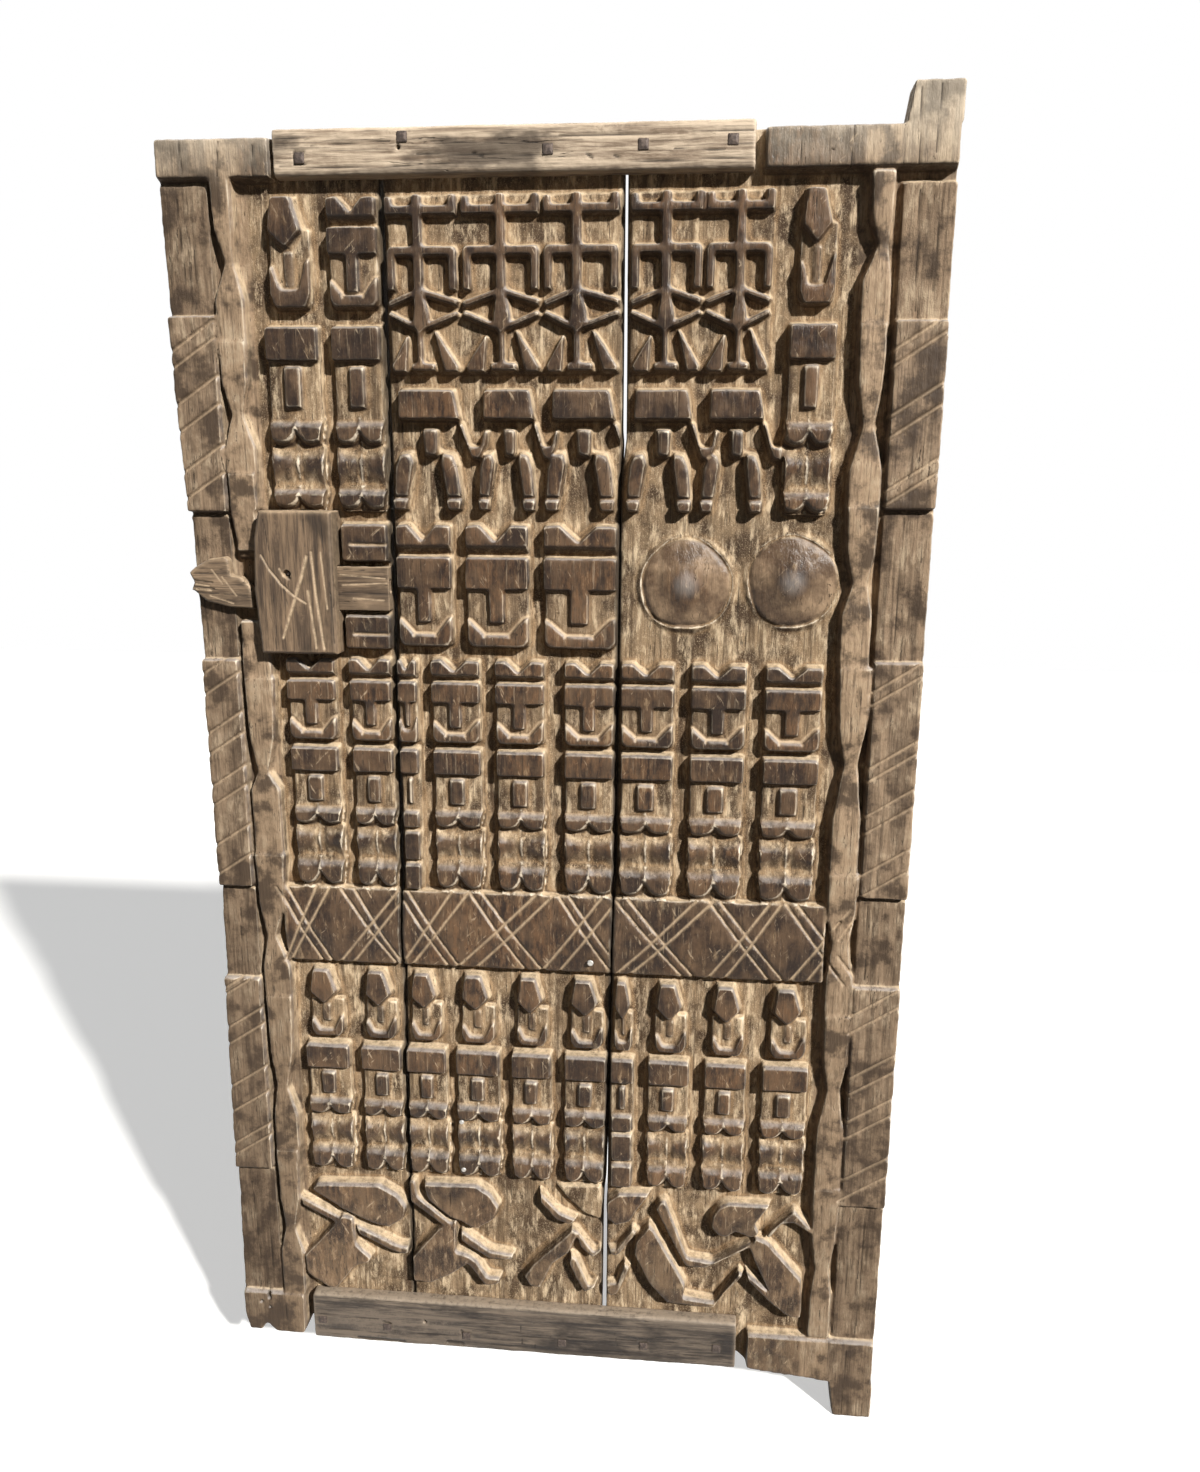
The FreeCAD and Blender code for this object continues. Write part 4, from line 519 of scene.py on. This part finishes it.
def soften_and_measure(piece, smoothing):
    """Round the edges, and write point attributes for wear, dirt, painted highlight and painted
    shade.

    Each point is averaged with its neighbours again and again. How far it stands out of the
    averaged skin, or sinks under it, tells thin rims, broad edges and inner corners apart.
    """
    mesh = piece.data
    count = len(mesh.vertices)
    places, normals = places_and_normals(mesh)
    edges = np.empty(len(mesh.edges) * 2, np.int32)
    mesh.edges.foreach_get("vertices", edges)
    a, b = edges.reshape(-1, 2).T
    ends, others = np.concatenate((a, b)), np.concatenate((b, a))
    order = np.argsort(ends, kind="stable")
    others = others[order]
    degree = np.bincount(ends, minlength=count)
    starts = np.concatenate(([0], np.cumsum(degree)[:-1]))
    share = (AVERAGING_SHARE / degree)[:, None].astype(np.float32)
    averaged, stages = places, {}
    for step in range(1, max(AVERAGING_STEPS) + 1):
        total = np.add.reduceat(averaged[others], starts, axis=0)
        averaged = (1 - AVERAGING_SHARE) * averaged + share * total
        if step in AVERAGING_STEPS or step == smoothing:
            stages[step] = averaged
    first, *later = AVERAGING_STEPS
    fine, middle, broad = (((stages[first] - stages[step]) * normals).sum(axis=1)
                           for step in later)
    for name, values in (("wear", fine / FULL_WEAR), ("edge", middle / FULL_EDGE),
                         ("crevice", -broad / FULL_CREVICE)):
        write_attribute(mesh, name, np.clip(values, 0, 1).astype(np.float32))
    write_places(mesh, stages[smoothing])


def finish_piece(piece, body, node, material):
    piece.data.materials.clear()
    piece.data.materials.append(material)
    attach(piece, body)
    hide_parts(node)


# Materials

class Tree:
    """Short way to write a material's nodes."""

    def __init__(self, name):
        self.material = bpy.data.materials.new(name)
        self.material.use_nodes = True
        self.nodes = self.material.node_tree.nodes
        self.links = self.material.node_tree.links
        self.shader = self.nodes["Principled BSDF"]

    @classmethod
    def over(cls, node_tree):
        tree = cls.__new__(cls)
        tree.nodes, tree.links = node_tree.nodes, node_tree.links
        return tree

    def add(self, kind, inputs=(), **values):
        node = self.nodes.new(kind)
        for key, value in values.items():
            setattr(node, key, value)
        for key, value in dict(inputs).items():
            self.feed(node.inputs[key], value)
        return node

    def feed(self, socket, value):
        if isinstance(value, bpy.types.NodeSocket):
            self.links.new(value, socket)
        elif socket.type == "RGBA":
            socket.default_value = (*value[:3], 1)
        else:
            socket.default_value = value

    def attribute(self, name):
        return self.add("ShaderNodeAttribute", attribute_name=name).outputs["Fac"]

    def place(self, scale=(1, 1, 1), turn=0.0):
        """Place in the door's frame, turned about Y and stretched."""
        place = self.add("ShaderNodeTexCoord").outputs["Object"]
        if turn:
            place = self.add("ShaderNodeVectorRotate", {"Vector": place, "Angle": turn},
                             rotation_type="Y_AXIS").outputs[0]
        return self.add("ShaderNodeMapping", {"Vector": place, "Scale": scale}).outputs[0]

    def noise(self, scale, detail, stretch=(1, 1, 1), roughness=0.55, distortion=0.0, turn=0.0):
        return self.add("ShaderNodeTexNoise", {
            "Vector": self.place(stretch, turn), "Scale": scale, "Detail": detail,
            "Roughness": roughness, "Distortion": distortion}).outputs["Fac"]

    def ramp(self, value, low, high, start=0.0, end=1.0):
        """Soft step between start and end while the value goes from low to high."""
        return self.add("ShaderNodeMapRange", {
            "Value": value, "From Min": low, "From Max": high, "To Min": start,
            "To Max": end}, interpolation_type="SMOOTHSTEP").outputs[0]

    def math(self, operation, a, b=0):
        node = self.add("ShaderNodeMath", operation=operation)
        self.feed(node.inputs[0], a)
        self.feed(node.inputs[1], b)
        return node.outputs[0]

    def both(self, a, b):
        return self.math("MULTIPLY", a, b)

    def apart(self, a, b):
        """Distance between two numbers."""
        return self.math("ABSOLUTE", self.math("SUBTRACT", a, b))

    def painted_light_masks(self):
        """How much a face looks up and to the right, toward the key light, and how much down and
        to the left, away from it: the masks for painted highlight and painted shade.
        """
        normal = self.add("ShaderNodeNewGeometry").outputs["Normal"]
        slope = self.add("ShaderNodeVectorMath", {0: normal, 1: (0.50, 0.0, 0.866)},
                         operation="DOT_PRODUCT").outputs["Value"]
        return self.ramp(slope, 0.30, 0.80), self.ramp(slope, -0.10, -0.60)

    def seen(self):
        """1 for rays from the eye, from mirrors and through glass."""
        path = self.add("ShaderNodeLightPath").outputs
        eye = self.math("MAXIMUM", path["Is Camera Ray"], path["Is Transmission Ray"])
        return self.math("MAXIMUM", eye, path["Is Glossy Ray"])

    def mix(self, factor, a, b):
        node = self.add("ShaderNodeMix", data_type="RGBA")
        self.feed(node.inputs[0], factor)
        self.feed(node.inputs[6], a)
        self.feed(node.inputs[7], b)
        return node.outputs[2]

    def bump(self, height, strength, distance, normal=None):
        inputs = {"Height": height, "Strength": strength, "Distance": distance}
        if normal is not None:
            inputs["Normal"] = normal
        return self.add("ShaderNodeBump", inputs).outputs[0]


def wood_noises(t):
    """Patterns of the planks' wood, from broad clouds to grains of sand."""
    return SimpleNamespace(
        cloud=t.noise(4.0, 3),
        blotch=t.noise(26.0, 6, roughness=0.62),
        grain=t.noise(430.0, 4, stretch=(1, 1, 0.030), roughness=0.6),
        streak=t.noise(95.0, 5, stretch=(1, 1, 0.06), roughness=0.68),
        crack=t.noise(150.0, 3, stretch=(1, 1, 0.020), roughness=0.5),
        sand=t.noise(620.0, 5, roughness=0.75),
        chip=t.noise(120.0, 5, stretch=(1, 1, 0.30), roughness=0.72))


def relief_ground(t, n):
    """Tan ground of the relief with brown earth stains, lighter dust, ochre sand in the crevices,
    and dirt and painted shade deep in them.
    """
    colour = t.mix(t.ramp(n.blotch, 0.38, 0.60), EARTH, GROUND)
    colour = t.mix(t.ramp(n.chip, 0.47, 0.68, 0, 0.85), colour, DUST_AND_PAINTED_HIGHLIGHT)
    colour = t.mix(t.ramp(n.sand, 0.52, 0.66, 0, 0.5), colour, DUST_AND_PAINTED_HIGHLIGHT)
    colour = t.mix(t.ramp(n.streak, 0.48, 0.64, 0, 0.7), colour, EARTH)
    colour = t.mix(t.ramp(n.grain, 0.52, 0.70, 0, 0.5), colour, EARTH)
    crevice = t.attribute("crevice")
    sandy = t.both(t.ramp(crevice, 0.1, 0.5), t.ramp(n.sand, 0.40, 0.60, 0.1, 0.5))
    colour = t.mix(sandy, colour, OCHRE)
    # Darker deep in the crevices: dirt and painted shade
    return t.mix(t.ramp(crevice, 0.45, 1.0, 0, 0.75), colour, DIRT_AND_PAINTED_SHADE)


def relief_top(t, n, dome, dome_gap):
    """Handled tops: dark brown, faintly streaked, with fine light scratches along the grain;
    lighter shells on the domes, with painted sheen at their tips.
    """
    colour = t.mix(t.ramp(n.blotch, 0.40, 0.66), PATINA, POLISH)
    colour = t.mix(t.ramp(n.streak, 0.46, 0.66, 0, 0.55), colour, POLISH)
    reddish = t.both(t.ramp(n.cloud, 0.42, 0.62), t.ramp(n.chip, 0.42, 0.60, 0, 0.6))
    colour = t.mix(reddish, colour, RUSSET)
    colour = t.mix(t.ramp(n.grain, 0.60, 0.72, 0, 0.35), colour, WORN_AND_PAINTED_HIGHLIGHT)
    for turn in (0.5, -0.8):
        nick = t.noise(230.0, 3, stretch=(1, 1, 0.12), turn=turn)
        nicked = t.both(t.ramp(nick, 0.64, 0.72), t.ramp(n.chip, 0.45, 0.60, 0, 0.6))
        colour = t.mix(nicked, colour, WORN_AND_PAINTED_HIGHLIGHT)
    bare = t.both(t.ramp(n.chip, 0.55, 0.66), t.ramp(n.streak, 0.46, 0.60))
    colour = t.mix(t.both(bare, 0.7), colour, GROUND)
    shell = t.mix(t.ramp(n.blotch, 0.40, 0.66), POLISH, STRIP)
    around_tip = t.ramp(dome_gap, 0.012, 0.036)
    colour = t.mix(t.both(dome, t.both(around_tip, 0.75)), colour, shell)
    # Painted sheen at the tips of the domes
    return t.mix(t.ramp(dome_gap, 0.020, 0.002, 0, 0.40), colour, PAINTED_SHEEN)


def border_wood(t, n, across):
    """Weathered mid brown of the borders, and lighter twisted strips beside them."""
    edge = HALF_WIDTH - BORDER_WIDTH
    strip = t.ramp(across, edge - 0.001, edge - 0.006)
    colour = t.mix(t.ramp(n.streak, 0.30, 0.64, 0.20, 1.0), SIDE_DARK, SIDE)
    colour = t.mix(t.both(strip, t.ramp(n.chip, 0.35, 0.6, 0.5, 0.95)), colour, STRIP)
    pale = t.both(t.ramp(n.blotch, 0.48, 0.66), t.ramp(n.chip, 0.40, 0.60, 0, 0.8))
    colour = t.mix(pale, colour, WORN_AND_PAINTED_HIGHLIGHT)
    colour = t.mix(t.ramp(n.blotch, 0.52, 0.38, 0, 0.85), colour, SIDE_DARK)
    return t.mix(t.ramp(n.grain, 0.50, 0.66, 0, 0.45), colour, SIDE_DARK)


def painted_light_wear_and_marks(t, n, colour, raised, dome, border):
    """Painted highlight on faces toward the key light (dust colour on the ground, sheen on the
    tops), painted shade on faces away from it, worn rims and rubbed ridges kept to the lit side
    (wear and painted highlight), and marks.
    """
    up, down = t.painted_light_masks()
    # Painted shade on faces that look down and to the left, away from the key light
    colour = t.mix(t.both(down, 0.72), colour, DIRT_AND_PAINTED_SHADE)
    # Painted highlight on faces that look up and to the right: dust colour on the ground, sheen on
    # the tops
    painted_highlight_colour = t.mix(raised, DUST_AND_PAINTED_HIGHLIGHT, PAINTED_SHEEN)
    colour = t.mix(t.both(up, t.ramp(n.chip, 0.30, 0.55, 0.25, 0.65)), colour, painted_highlight_colour)
    rim = t.both(t.ramp(t.attribute("edge"), 0.30, 0.85), t.ramp(n.chip, 0.38, 0.60, 0.10, 1.0))
    # Worn rims, left off faces that look down and to the left: wear and painted highlight
    colour = t.mix(t.both(rim, t.ramp(down, 1.0, 0.2, 0.0, 0.55)), colour, WORN_AND_PAINTED_HIGHLIGHT)
    rubbed = t.both(t.ramp(t.attribute("wear"), 0.25, 0.85),
                    t.ramp(n.chip, 0.38, 0.58, 0.25, 1.0))
    rubbed = t.both(rubbed, t.ramp(dome, 0, 1, 1.0, 0.25))
    # Rubbed ridges, weaker on faces that look down and to the left: wear and painted highlight
    colour = t.mix(t.both(rubbed, t.ramp(down, 1.0, 0.2, 0.1, 0.75)), colour, PALE)
    scratch = t.both(t.attribute("scratch"), t.ramp(n.sand, 0.30, 0.50, 0.55, 1.0))
    colour = t.mix(t.both(scratch, t.ramp(border, 0.0, 1.0, 0.6, 0.35)), colour, FRESH)
    return t.mix(t.both(t.attribute("crack"), 0.85), colour, CRACK)


def carved_wood(name):
    t = Tree(name)
    n = wood_noises(t)
    place = t.add("ShaderNodeSeparateXYZ", {"Vector": t.place()}).outputs
    across = t.apart(place["X"], MIDDLE_X)
    inner = HALF_WIDTH - SIDE_WIDTH
    border = t.ramp(across, inner - 0.002, inner + 0.003)
    flat = t.place((1, 0, 1))
    gaps = [t.add("ShaderNodeVectorMath", {0: flat, 1: middle}, operation="DISTANCE")
            for middle in DOMES]
    dome_gap = t.math("MINIMUM", *[gap.outputs["Value"] for gap in gaps])
    dome = t.ramp(dome_gap, DOME_RADIUS, DOME_RADIUS - 0.004)
    raised = t.ramp(place["Y"], GROUND_Y - 0.0085, FRONT_Y + 0.004)
    raised = t.math("MAXIMUM", raised, dome)

    patina = t.both(raised, t.ramp(n.blotch, 0.28, 0.42, 0.75, 1.0))
    foot = t.ramp(place["Z"], 0.20, 0.40, 0.78, 1.0)
    colour = t.mix(t.both(patina, foot), relief_ground(t, n), relief_top(t, n, dome, dome_gap))
    colour = t.mix(border, colour, border_wood(t, n, across))
    low = t.ramp(place["Z"], 1.150, 0.150, 0, 0.34)
    left = t.ramp(place["X"], MIDDLE_X, MIDDLE_X - HALF_WIDTH, 0, 0.20)
    colour = t.mix(t.both(border, t.math("ADD", low, left)), colour, SIDE_DARK)
    bleached = t.both(t.ramp(place["Z"], 1.500, 1.590), t.ramp(n.blotch, 0.35, 0.60, 0.5, 1.0))
    colour = t.mix(t.both(bleached, 0.55), colour, PALE)
    colour = painted_light_wear_and_marks(t, n, colour, raised, dome, border)
    split = t.both(t.ramp(t.apart(n.crack, 0.5), 0.010, 0.0), t.ramp(n.blotch, 0.50, 0.60))
    t.feed(t.shader.inputs["Base Color"], t.mix(t.both(split, 0.85), colour, CRACK))

    gloss = t.both(raised, t.math("SUBTRACT", 1.0, t.both(border, 0.6)))
    rough = t.math("SUBTRACT", 0.80, t.both(gloss, 0.44))
    rough = t.math("ADD", rough, t.ramp(n.blotch, 0.35, 0.65, -0.05, 0.10))
    rough = t.math("SUBTRACT", rough, t.both(dome, 0.06))
    t.feed(t.shader.inputs["Roughness"], t.math("MAXIMUM", rough, t.attribute("crack")))
    t.shader.inputs["Specular IOR Level"].default_value = 0.24

    normal = t.bump(split, 0.7, -0.0016)
    normal = t.bump(n.grain, 0.55, 0.0008, normal)
    normal = t.bump(n.streak, 0.50, 0.0018, normal)
    normal = t.bump(n.chip, 0.65, 0.0021, normal)
    grit = t.both(n.sand, t.ramp(raised, 0.7, 0.1, 0.10, 1.0))
    t.feed(t.shader.inputs["Normal"], t.bump(grit, 0.8, 0.0011, normal))
    return t.material


def aged_wood(name, tones, level=False, stain=0.6, gloss=0.62):
    """Dry wood with its grain upright or level, stained in clouds, with bare scratches; painted
    highlight and painted shade on faces toward and away from the key light, and dirt and painted
    shade in the crevices.
    """
    t = Tree(name)
    light, mid, dark, fresh_and_highlight = tones
    fine, long = ((0.035, 1, 1), (0.07, 1, 1)) if level else ((1, 1, 0.035), (1, 1, 0.07))
    grain = t.noise(420.0, 4, stretch=fine, roughness=0.6)
    streak = t.noise(120.0, 5, stretch=long, roughness=0.7, distortion=0.3)
    split = t.noise(90.0, 3, stretch=fine, roughness=0.5)
    cloud = t.noise(14.0, 5, stretch=(0.45, 1, 1) if level else (1, 1, 0.45), roughness=0.6)
    chip = t.noise(140.0, 5, roughness=0.72)
    base = t.mix(t.ramp(streak, 0.36, 0.62), mid, light)
    base = t.mix(t.ramp(grain, 0.50, 0.70, 0, 0.6), base, dark)
    base = t.mix(t.ramp(cloud, 0.50, 0.62, 0, stain), base, dark)
    bare = t.both(t.ramp(cloud, 0.46, 0.34), t.ramp(chip, 0.42, 0.58, 0.2, 0.9))
    base = t.mix(bare, base, light)
    line = t.apart(split, 0.5)
    line = t.both(t.ramp(line, 0.008, 0.0), t.ramp(cloud, 0.46, 0.54))
    base = t.mix(t.both(line, 0.8), base, CRACK)
    up, down = t.painted_light_masks()
    # Painted shade on faces that look down and to the left
    base = t.mix(t.both(down, 0.6), base, DIRT_AND_PAINTED_SHADE)
    # Painted highlight in the fresh tone on faces that look up and to the right
    base = t.mix(t.both(up, t.ramp(chip, 0.30, 0.55, 0.2, 0.6)), base, fresh_and_highlight)
    rim = t.both(t.attribute("edge"), t.ramp(chip, 0.35, 0.6, 0.3, 1.0))
    # Light worn rims, left off faces that look down and to the left: wear and painted highlight
    base = t.mix(t.both(rim, t.ramp(down, 1.0, 0.2, 0.0, 0.45)), base, light)
    base = t.mix(t.both(t.attribute("wear"), 0.55), base, fresh_and_highlight)
    # Darker in the crevices: dirt and painted shade
    base = t.mix(t.ramp(t.attribute("crevice"), 0.2, 1.0, 0, 0.7), base, dark)
    base = t.mix(t.both(t.attribute("scratch"), t.ramp(chip, 0.35, 0.60, 0.35, 0.85)), base, fresh_and_highlight)
    base = t.mix(t.both(t.attribute("crack"), 0.88), base, CRACK)
    t.feed(t.shader.inputs["Base Color"], base)
    t.feed(t.shader.inputs["Roughness"], t.ramp(cloud, 0.35, 0.65, gloss - 0.08, gloss + 0.12))
    t.shader.inputs["Specular IOR Level"].default_value = 0.34
    normal = t.bump(line, 0.7, -0.0014)
    normal = t.bump(grain, 0.5, 0.0008, normal)
    normal = t.bump(streak, 0.5, 0.0018, normal)
    t.feed(t.shader.inputs["Normal"], t.bump(chip, 0.4, 0.0012, normal))
    return t.material


def old_metal(name, tones, metallic, roughness):
    t = Tree(name)
    spots = t.noise(260.0, 5)
    t.feed(t.shader.inputs["Base Color"], t.mix(t.ramp(spots, 0.4, 0.65), *tones))
    t.shader.inputs["Metallic"].default_value = metallic
    t.feed(t.shader.inputs["Roughness"], t.ramp(spots, 0.3, 0.7, roughness - 0.1, roughness + 0.1))
    t.feed(t.shader.inputs["Normal"], t.bump(spots, 0.6, 0.0006))
    return t.material


def floor_paint():
    """White for the eye, darker for the light that it throws back on the door."""
    t = Tree("floor_paint")
    t.nodes.remove(t.shader)
    path = t.add("ShaderNodeLightPath")
    paint = t.mix(path.outputs["Is Diffuse Ray"], FLOOR, FLOOR_BOUNCE)
    soft = t.add("ShaderNodeBsdfDiffuse", {"Color": paint})
    strength = t.both(t.seen(), FLOOR_GLOW)
    glow = t.add("ShaderNodeEmission", {"Color": (1, 1, 1), "Strength": strength})
    total = t.add("ShaderNodeAddShader", {0: soft.outputs[0], 1: glow.outputs[0]})
    t.links.new(total.outputs[0], t.nodes["Material Output"].inputs["Surface"])
    return t.material


def studio_world(fill):
    """White for the eye and in reflections, and a weak light from all around."""
    world = bpy.data.worlds.new("studio")
    world.use_nodes = True
    t = Tree.over(world.node_tree)
    t.nodes.clear()
    soft = t.add("ShaderNodeBackground", {"Color": WORLD_COLOUR, "Strength": fill})
    white = t.add("ShaderNodeBackground", {"Color": (1, 1, 1), "Strength": 1.0})
    mix = t.add("ShaderNodeMixShader", {0: t.seen(), 1: soft.outputs[0], 2: white.outputs[0]})
    output = t.add("ShaderNodeOutputWorld")
    t.links.new(mix.outputs[0], output.inputs["Surface"])
    return world


# Operators

class DOOR_OT_planks(Operator):
    """Weathered skins of the three carved planks"""
    bl_idname = "door.planks"
    bl_label = "Carved planks"

    def execute(self, context):
        settings = context.scene.door_carving
        material = carved_wood("carved_wood")
        for node, shaping in (("left_plank", ()), ("middle_plank", (close_seam,)),
                              ("right_plank", (carve_domes,))):
            piece = copy_of_node(node, "carved_" + node)
            shaping = (partial(carve_legs, blocks=leg_blocks(piece)), *shaping)
            carve_surface(piece, settings.voxel, settings.smoothing, settings.waviness,
                          settings.triangles, shaping, PLANK_CARVED_Y, cut_lines(piece),
                          from_corner(PLANK_CRACKS[node] + SEAMS))
            finish_piece(piece, "leaf", node, material)
        return {"FINISHED"}


class DOOR_OT_battens(Operator):
    """Weathered battens"""
    bl_idname = "door.battens"
    bl_label = "Battens"

    def execute(self, context):
        voxel = context.scene.door_plain.batten_voxel
        for node, slot, tones, stain, gloss, cracks in (
                ("top_batten", "pale_batten_wood", TOP_BATTEN, 0.80, 0.66, TOP_BATTEN_CRACKS),
                ("bottom_batten", "dark_batten_wood", BOTTOM_BATTEN, 0.85, 0.52,
                 BOTTOM_BATTEN_CRACKS)):
            material = aged_wood(node + "_wood", tones, level=True, stain=stain, gloss=gloss)
            piece = copy_of_node(node, "weathered_" + node)
            carve_surface(piece, voxel, *BATTEN_SKIN, cracks=from_corner(cracks))
            finish_piece(piece, "leaf", node, material)
        return {"FINISHED"}


class DOOR_OT_lock(Operator):
    """Case, bolt and tumblers of the lock"""
    bl_idname = "door.lock"
    bl_label = "Lock"

    def execute(self, context):
        settings = context.scene.door_plain
        wood = aged_wood("lock_wood", CASE, stain=0.75, gloss=0.50)
        bolt_wood = aged_wood("bolt_wood", BOLT, level=True, stain=0.5, gloss=0.55)
        for node, body, material, scratches, cracks in (
                ("lock_case", "leaf", wood, CASE_SCRATCHES, CASE_CRACKS),
                ("lock_bolt", "bolt", bolt_wood, BOLT_SCRATCHES, BOLT_CRACKS)):
            piece = copy_of_node(node, "worn_" + node)
            carve_surface(piece, settings.lock_voxel, *LOCK_SKIN,
                          scratches=from_corner(scratches), cracks=from_corner(cracks))
            finish_piece(piece, body, node, material)
        for node in ("tumbler_left", "tumbler_middle", "tumbler_right"):
            piece = copy_of_node(node, "whittled_" + node)
            carve_surface(piece, settings.tumbler_voxel, *TUMBLER_SKIN)
            body = node.split("_")[1] + "_tumbler"
            finish_piece(piece, body, node, wood)
        return {"FINISHED"}


class DOOR_OT_iron(Operator):
    """Forged nails, spikes and tacks"""
    bl_idname = "door.iron"
    bl_label = "Nails and tacks"

    def execute(self, context):
        voxel = context.scene.door_plain.iron_voxel
        iron = old_metal("forged_iron", IRON, 0.6, 0.6)
        tack = old_metal("tack_metal", TACK, 0.7, 0.5)
        for node in ("top_batten_nails", "bottom_batten_nails", "lock_case_spikes",
                     "lock_case_nail", "round_tacks"):
            pale = node == "round_tacks"
            piece = copy_of_node(node, "worn_" + node)
            carve_surface(piece, voxel, *IRON_SKIN)
            finish_piece(piece, "leaf", node,
                         tack if pale else iron)
        return {"FINISHED"}


class DOOR_OT_stage(Operator):
    """Floor, lights and camera"""
    bl_idname = "door.stage"
    bl_label = "Stage"

    def execute(self, context):
        scene = context.scene
        settings = scene.door_stage
        self.make_floor()
        for name, *lamp in LAMPS:
            self.make_light(scene, name, getattr(settings, name), *lamp)
        scene.world = studio_world(settings.fill)
        self.make_camera(scene)
        scene.view_settings.view_transform = "Standard"
        return {"FINISHED"}

    def make_floor(self):
        deselect_all()
        bpy.ops.mesh.primitive_plane_add(size=1)
        floor = bpy.context.active_object
        floor.name = "floor"
        floor.data.transform(Matrix.Diagonal((FLOOR_SIZE, FLOOR_SIZE, 1, 1)))
        floor.data.materials.append(floor_paint())

    def make_light(self, scene, name, energy, width, colour, aim):
        data = bpy.data.lights.new(name, "SUN")
        data.energy = energy
        data.angle = math.radians(width)
        data.color = colour
        lamp = bpy.data.objects.new(name, data)
        scene.collection.objects.link(lamp)
        lamp.rotation_euler = Vector(aim).to_track_quat("-Z", "Y").to_euler()

    def make_camera(self, scene):
        data = bpy.data.cameras.new("camera")
        data.lens = CAMERA_LENS
        data.sensor_width = CAMERA_SENSOR
        camera = bpy.data.objects.new("camera", data)
        scene.collection.objects.link(camera)
        right, up = Vector(CAMERA_RIGHT).normalized(), Vector(CAMERA_UP).normalized()
        back = right.cross(up)
        turn = Matrix((right, up, back)).transposed().to_4x4()
        camera.matrix_world = Matrix.Translation(CAMERA_PLACE) @ turn
        scene.camera = camera


class DOOR_PT_sidebar(Panel):
    bl_idname = "DOOR_PT_sidebar"
    bl_label = "Granary Door"
    bl_space_type = "VIEW_3D"
    bl_region_type = "UI"
    bl_category = "Granary Door"

    def draw(self, context):
        for operator in OPERATORS:
            self.layout.operator(operator.bl_idname)


GROUPS = {"door_carving": DoorCarvingSettings, "door_plain": DoorPlainSettings,
          "door_stage": DoorStageSettings}
OPERATORS = (DOOR_OT_stage, DOOR_OT_planks, DOOR_OT_battens, DOOR_OT_lock, DOOR_OT_iron)


def register():
    for group in GROUPS.values():
        bpy.utils.register_class(group)
    for operator in OPERATORS:
        bpy.utils.register_class(operator)
    bpy.utils.register_class(DOOR_PT_sidebar)
    for name, group in GROUPS.items():
        setattr(bpy.types.Scene, name, PointerProperty(type=group))


def unregister():
    for name in GROUPS:
        delattr(bpy.types.Scene, name)
    bpy.utils.unregister_class(DOOR_PT_sidebar)
    for operator in reversed(OPERATORS):
        bpy.utils.unregister_class(operator)
    for group in reversed(list(GROUPS.values())):
        bpy.utils.unregister_class(group)


def main():
    register()
    bpy.ops.door.stage()
    bpy.ops.door.planks()
    bpy.ops.door.battens()
    bpy.ops.door.lock()
    bpy.ops.door.iron()


if __name__ == "__main__":
    main()
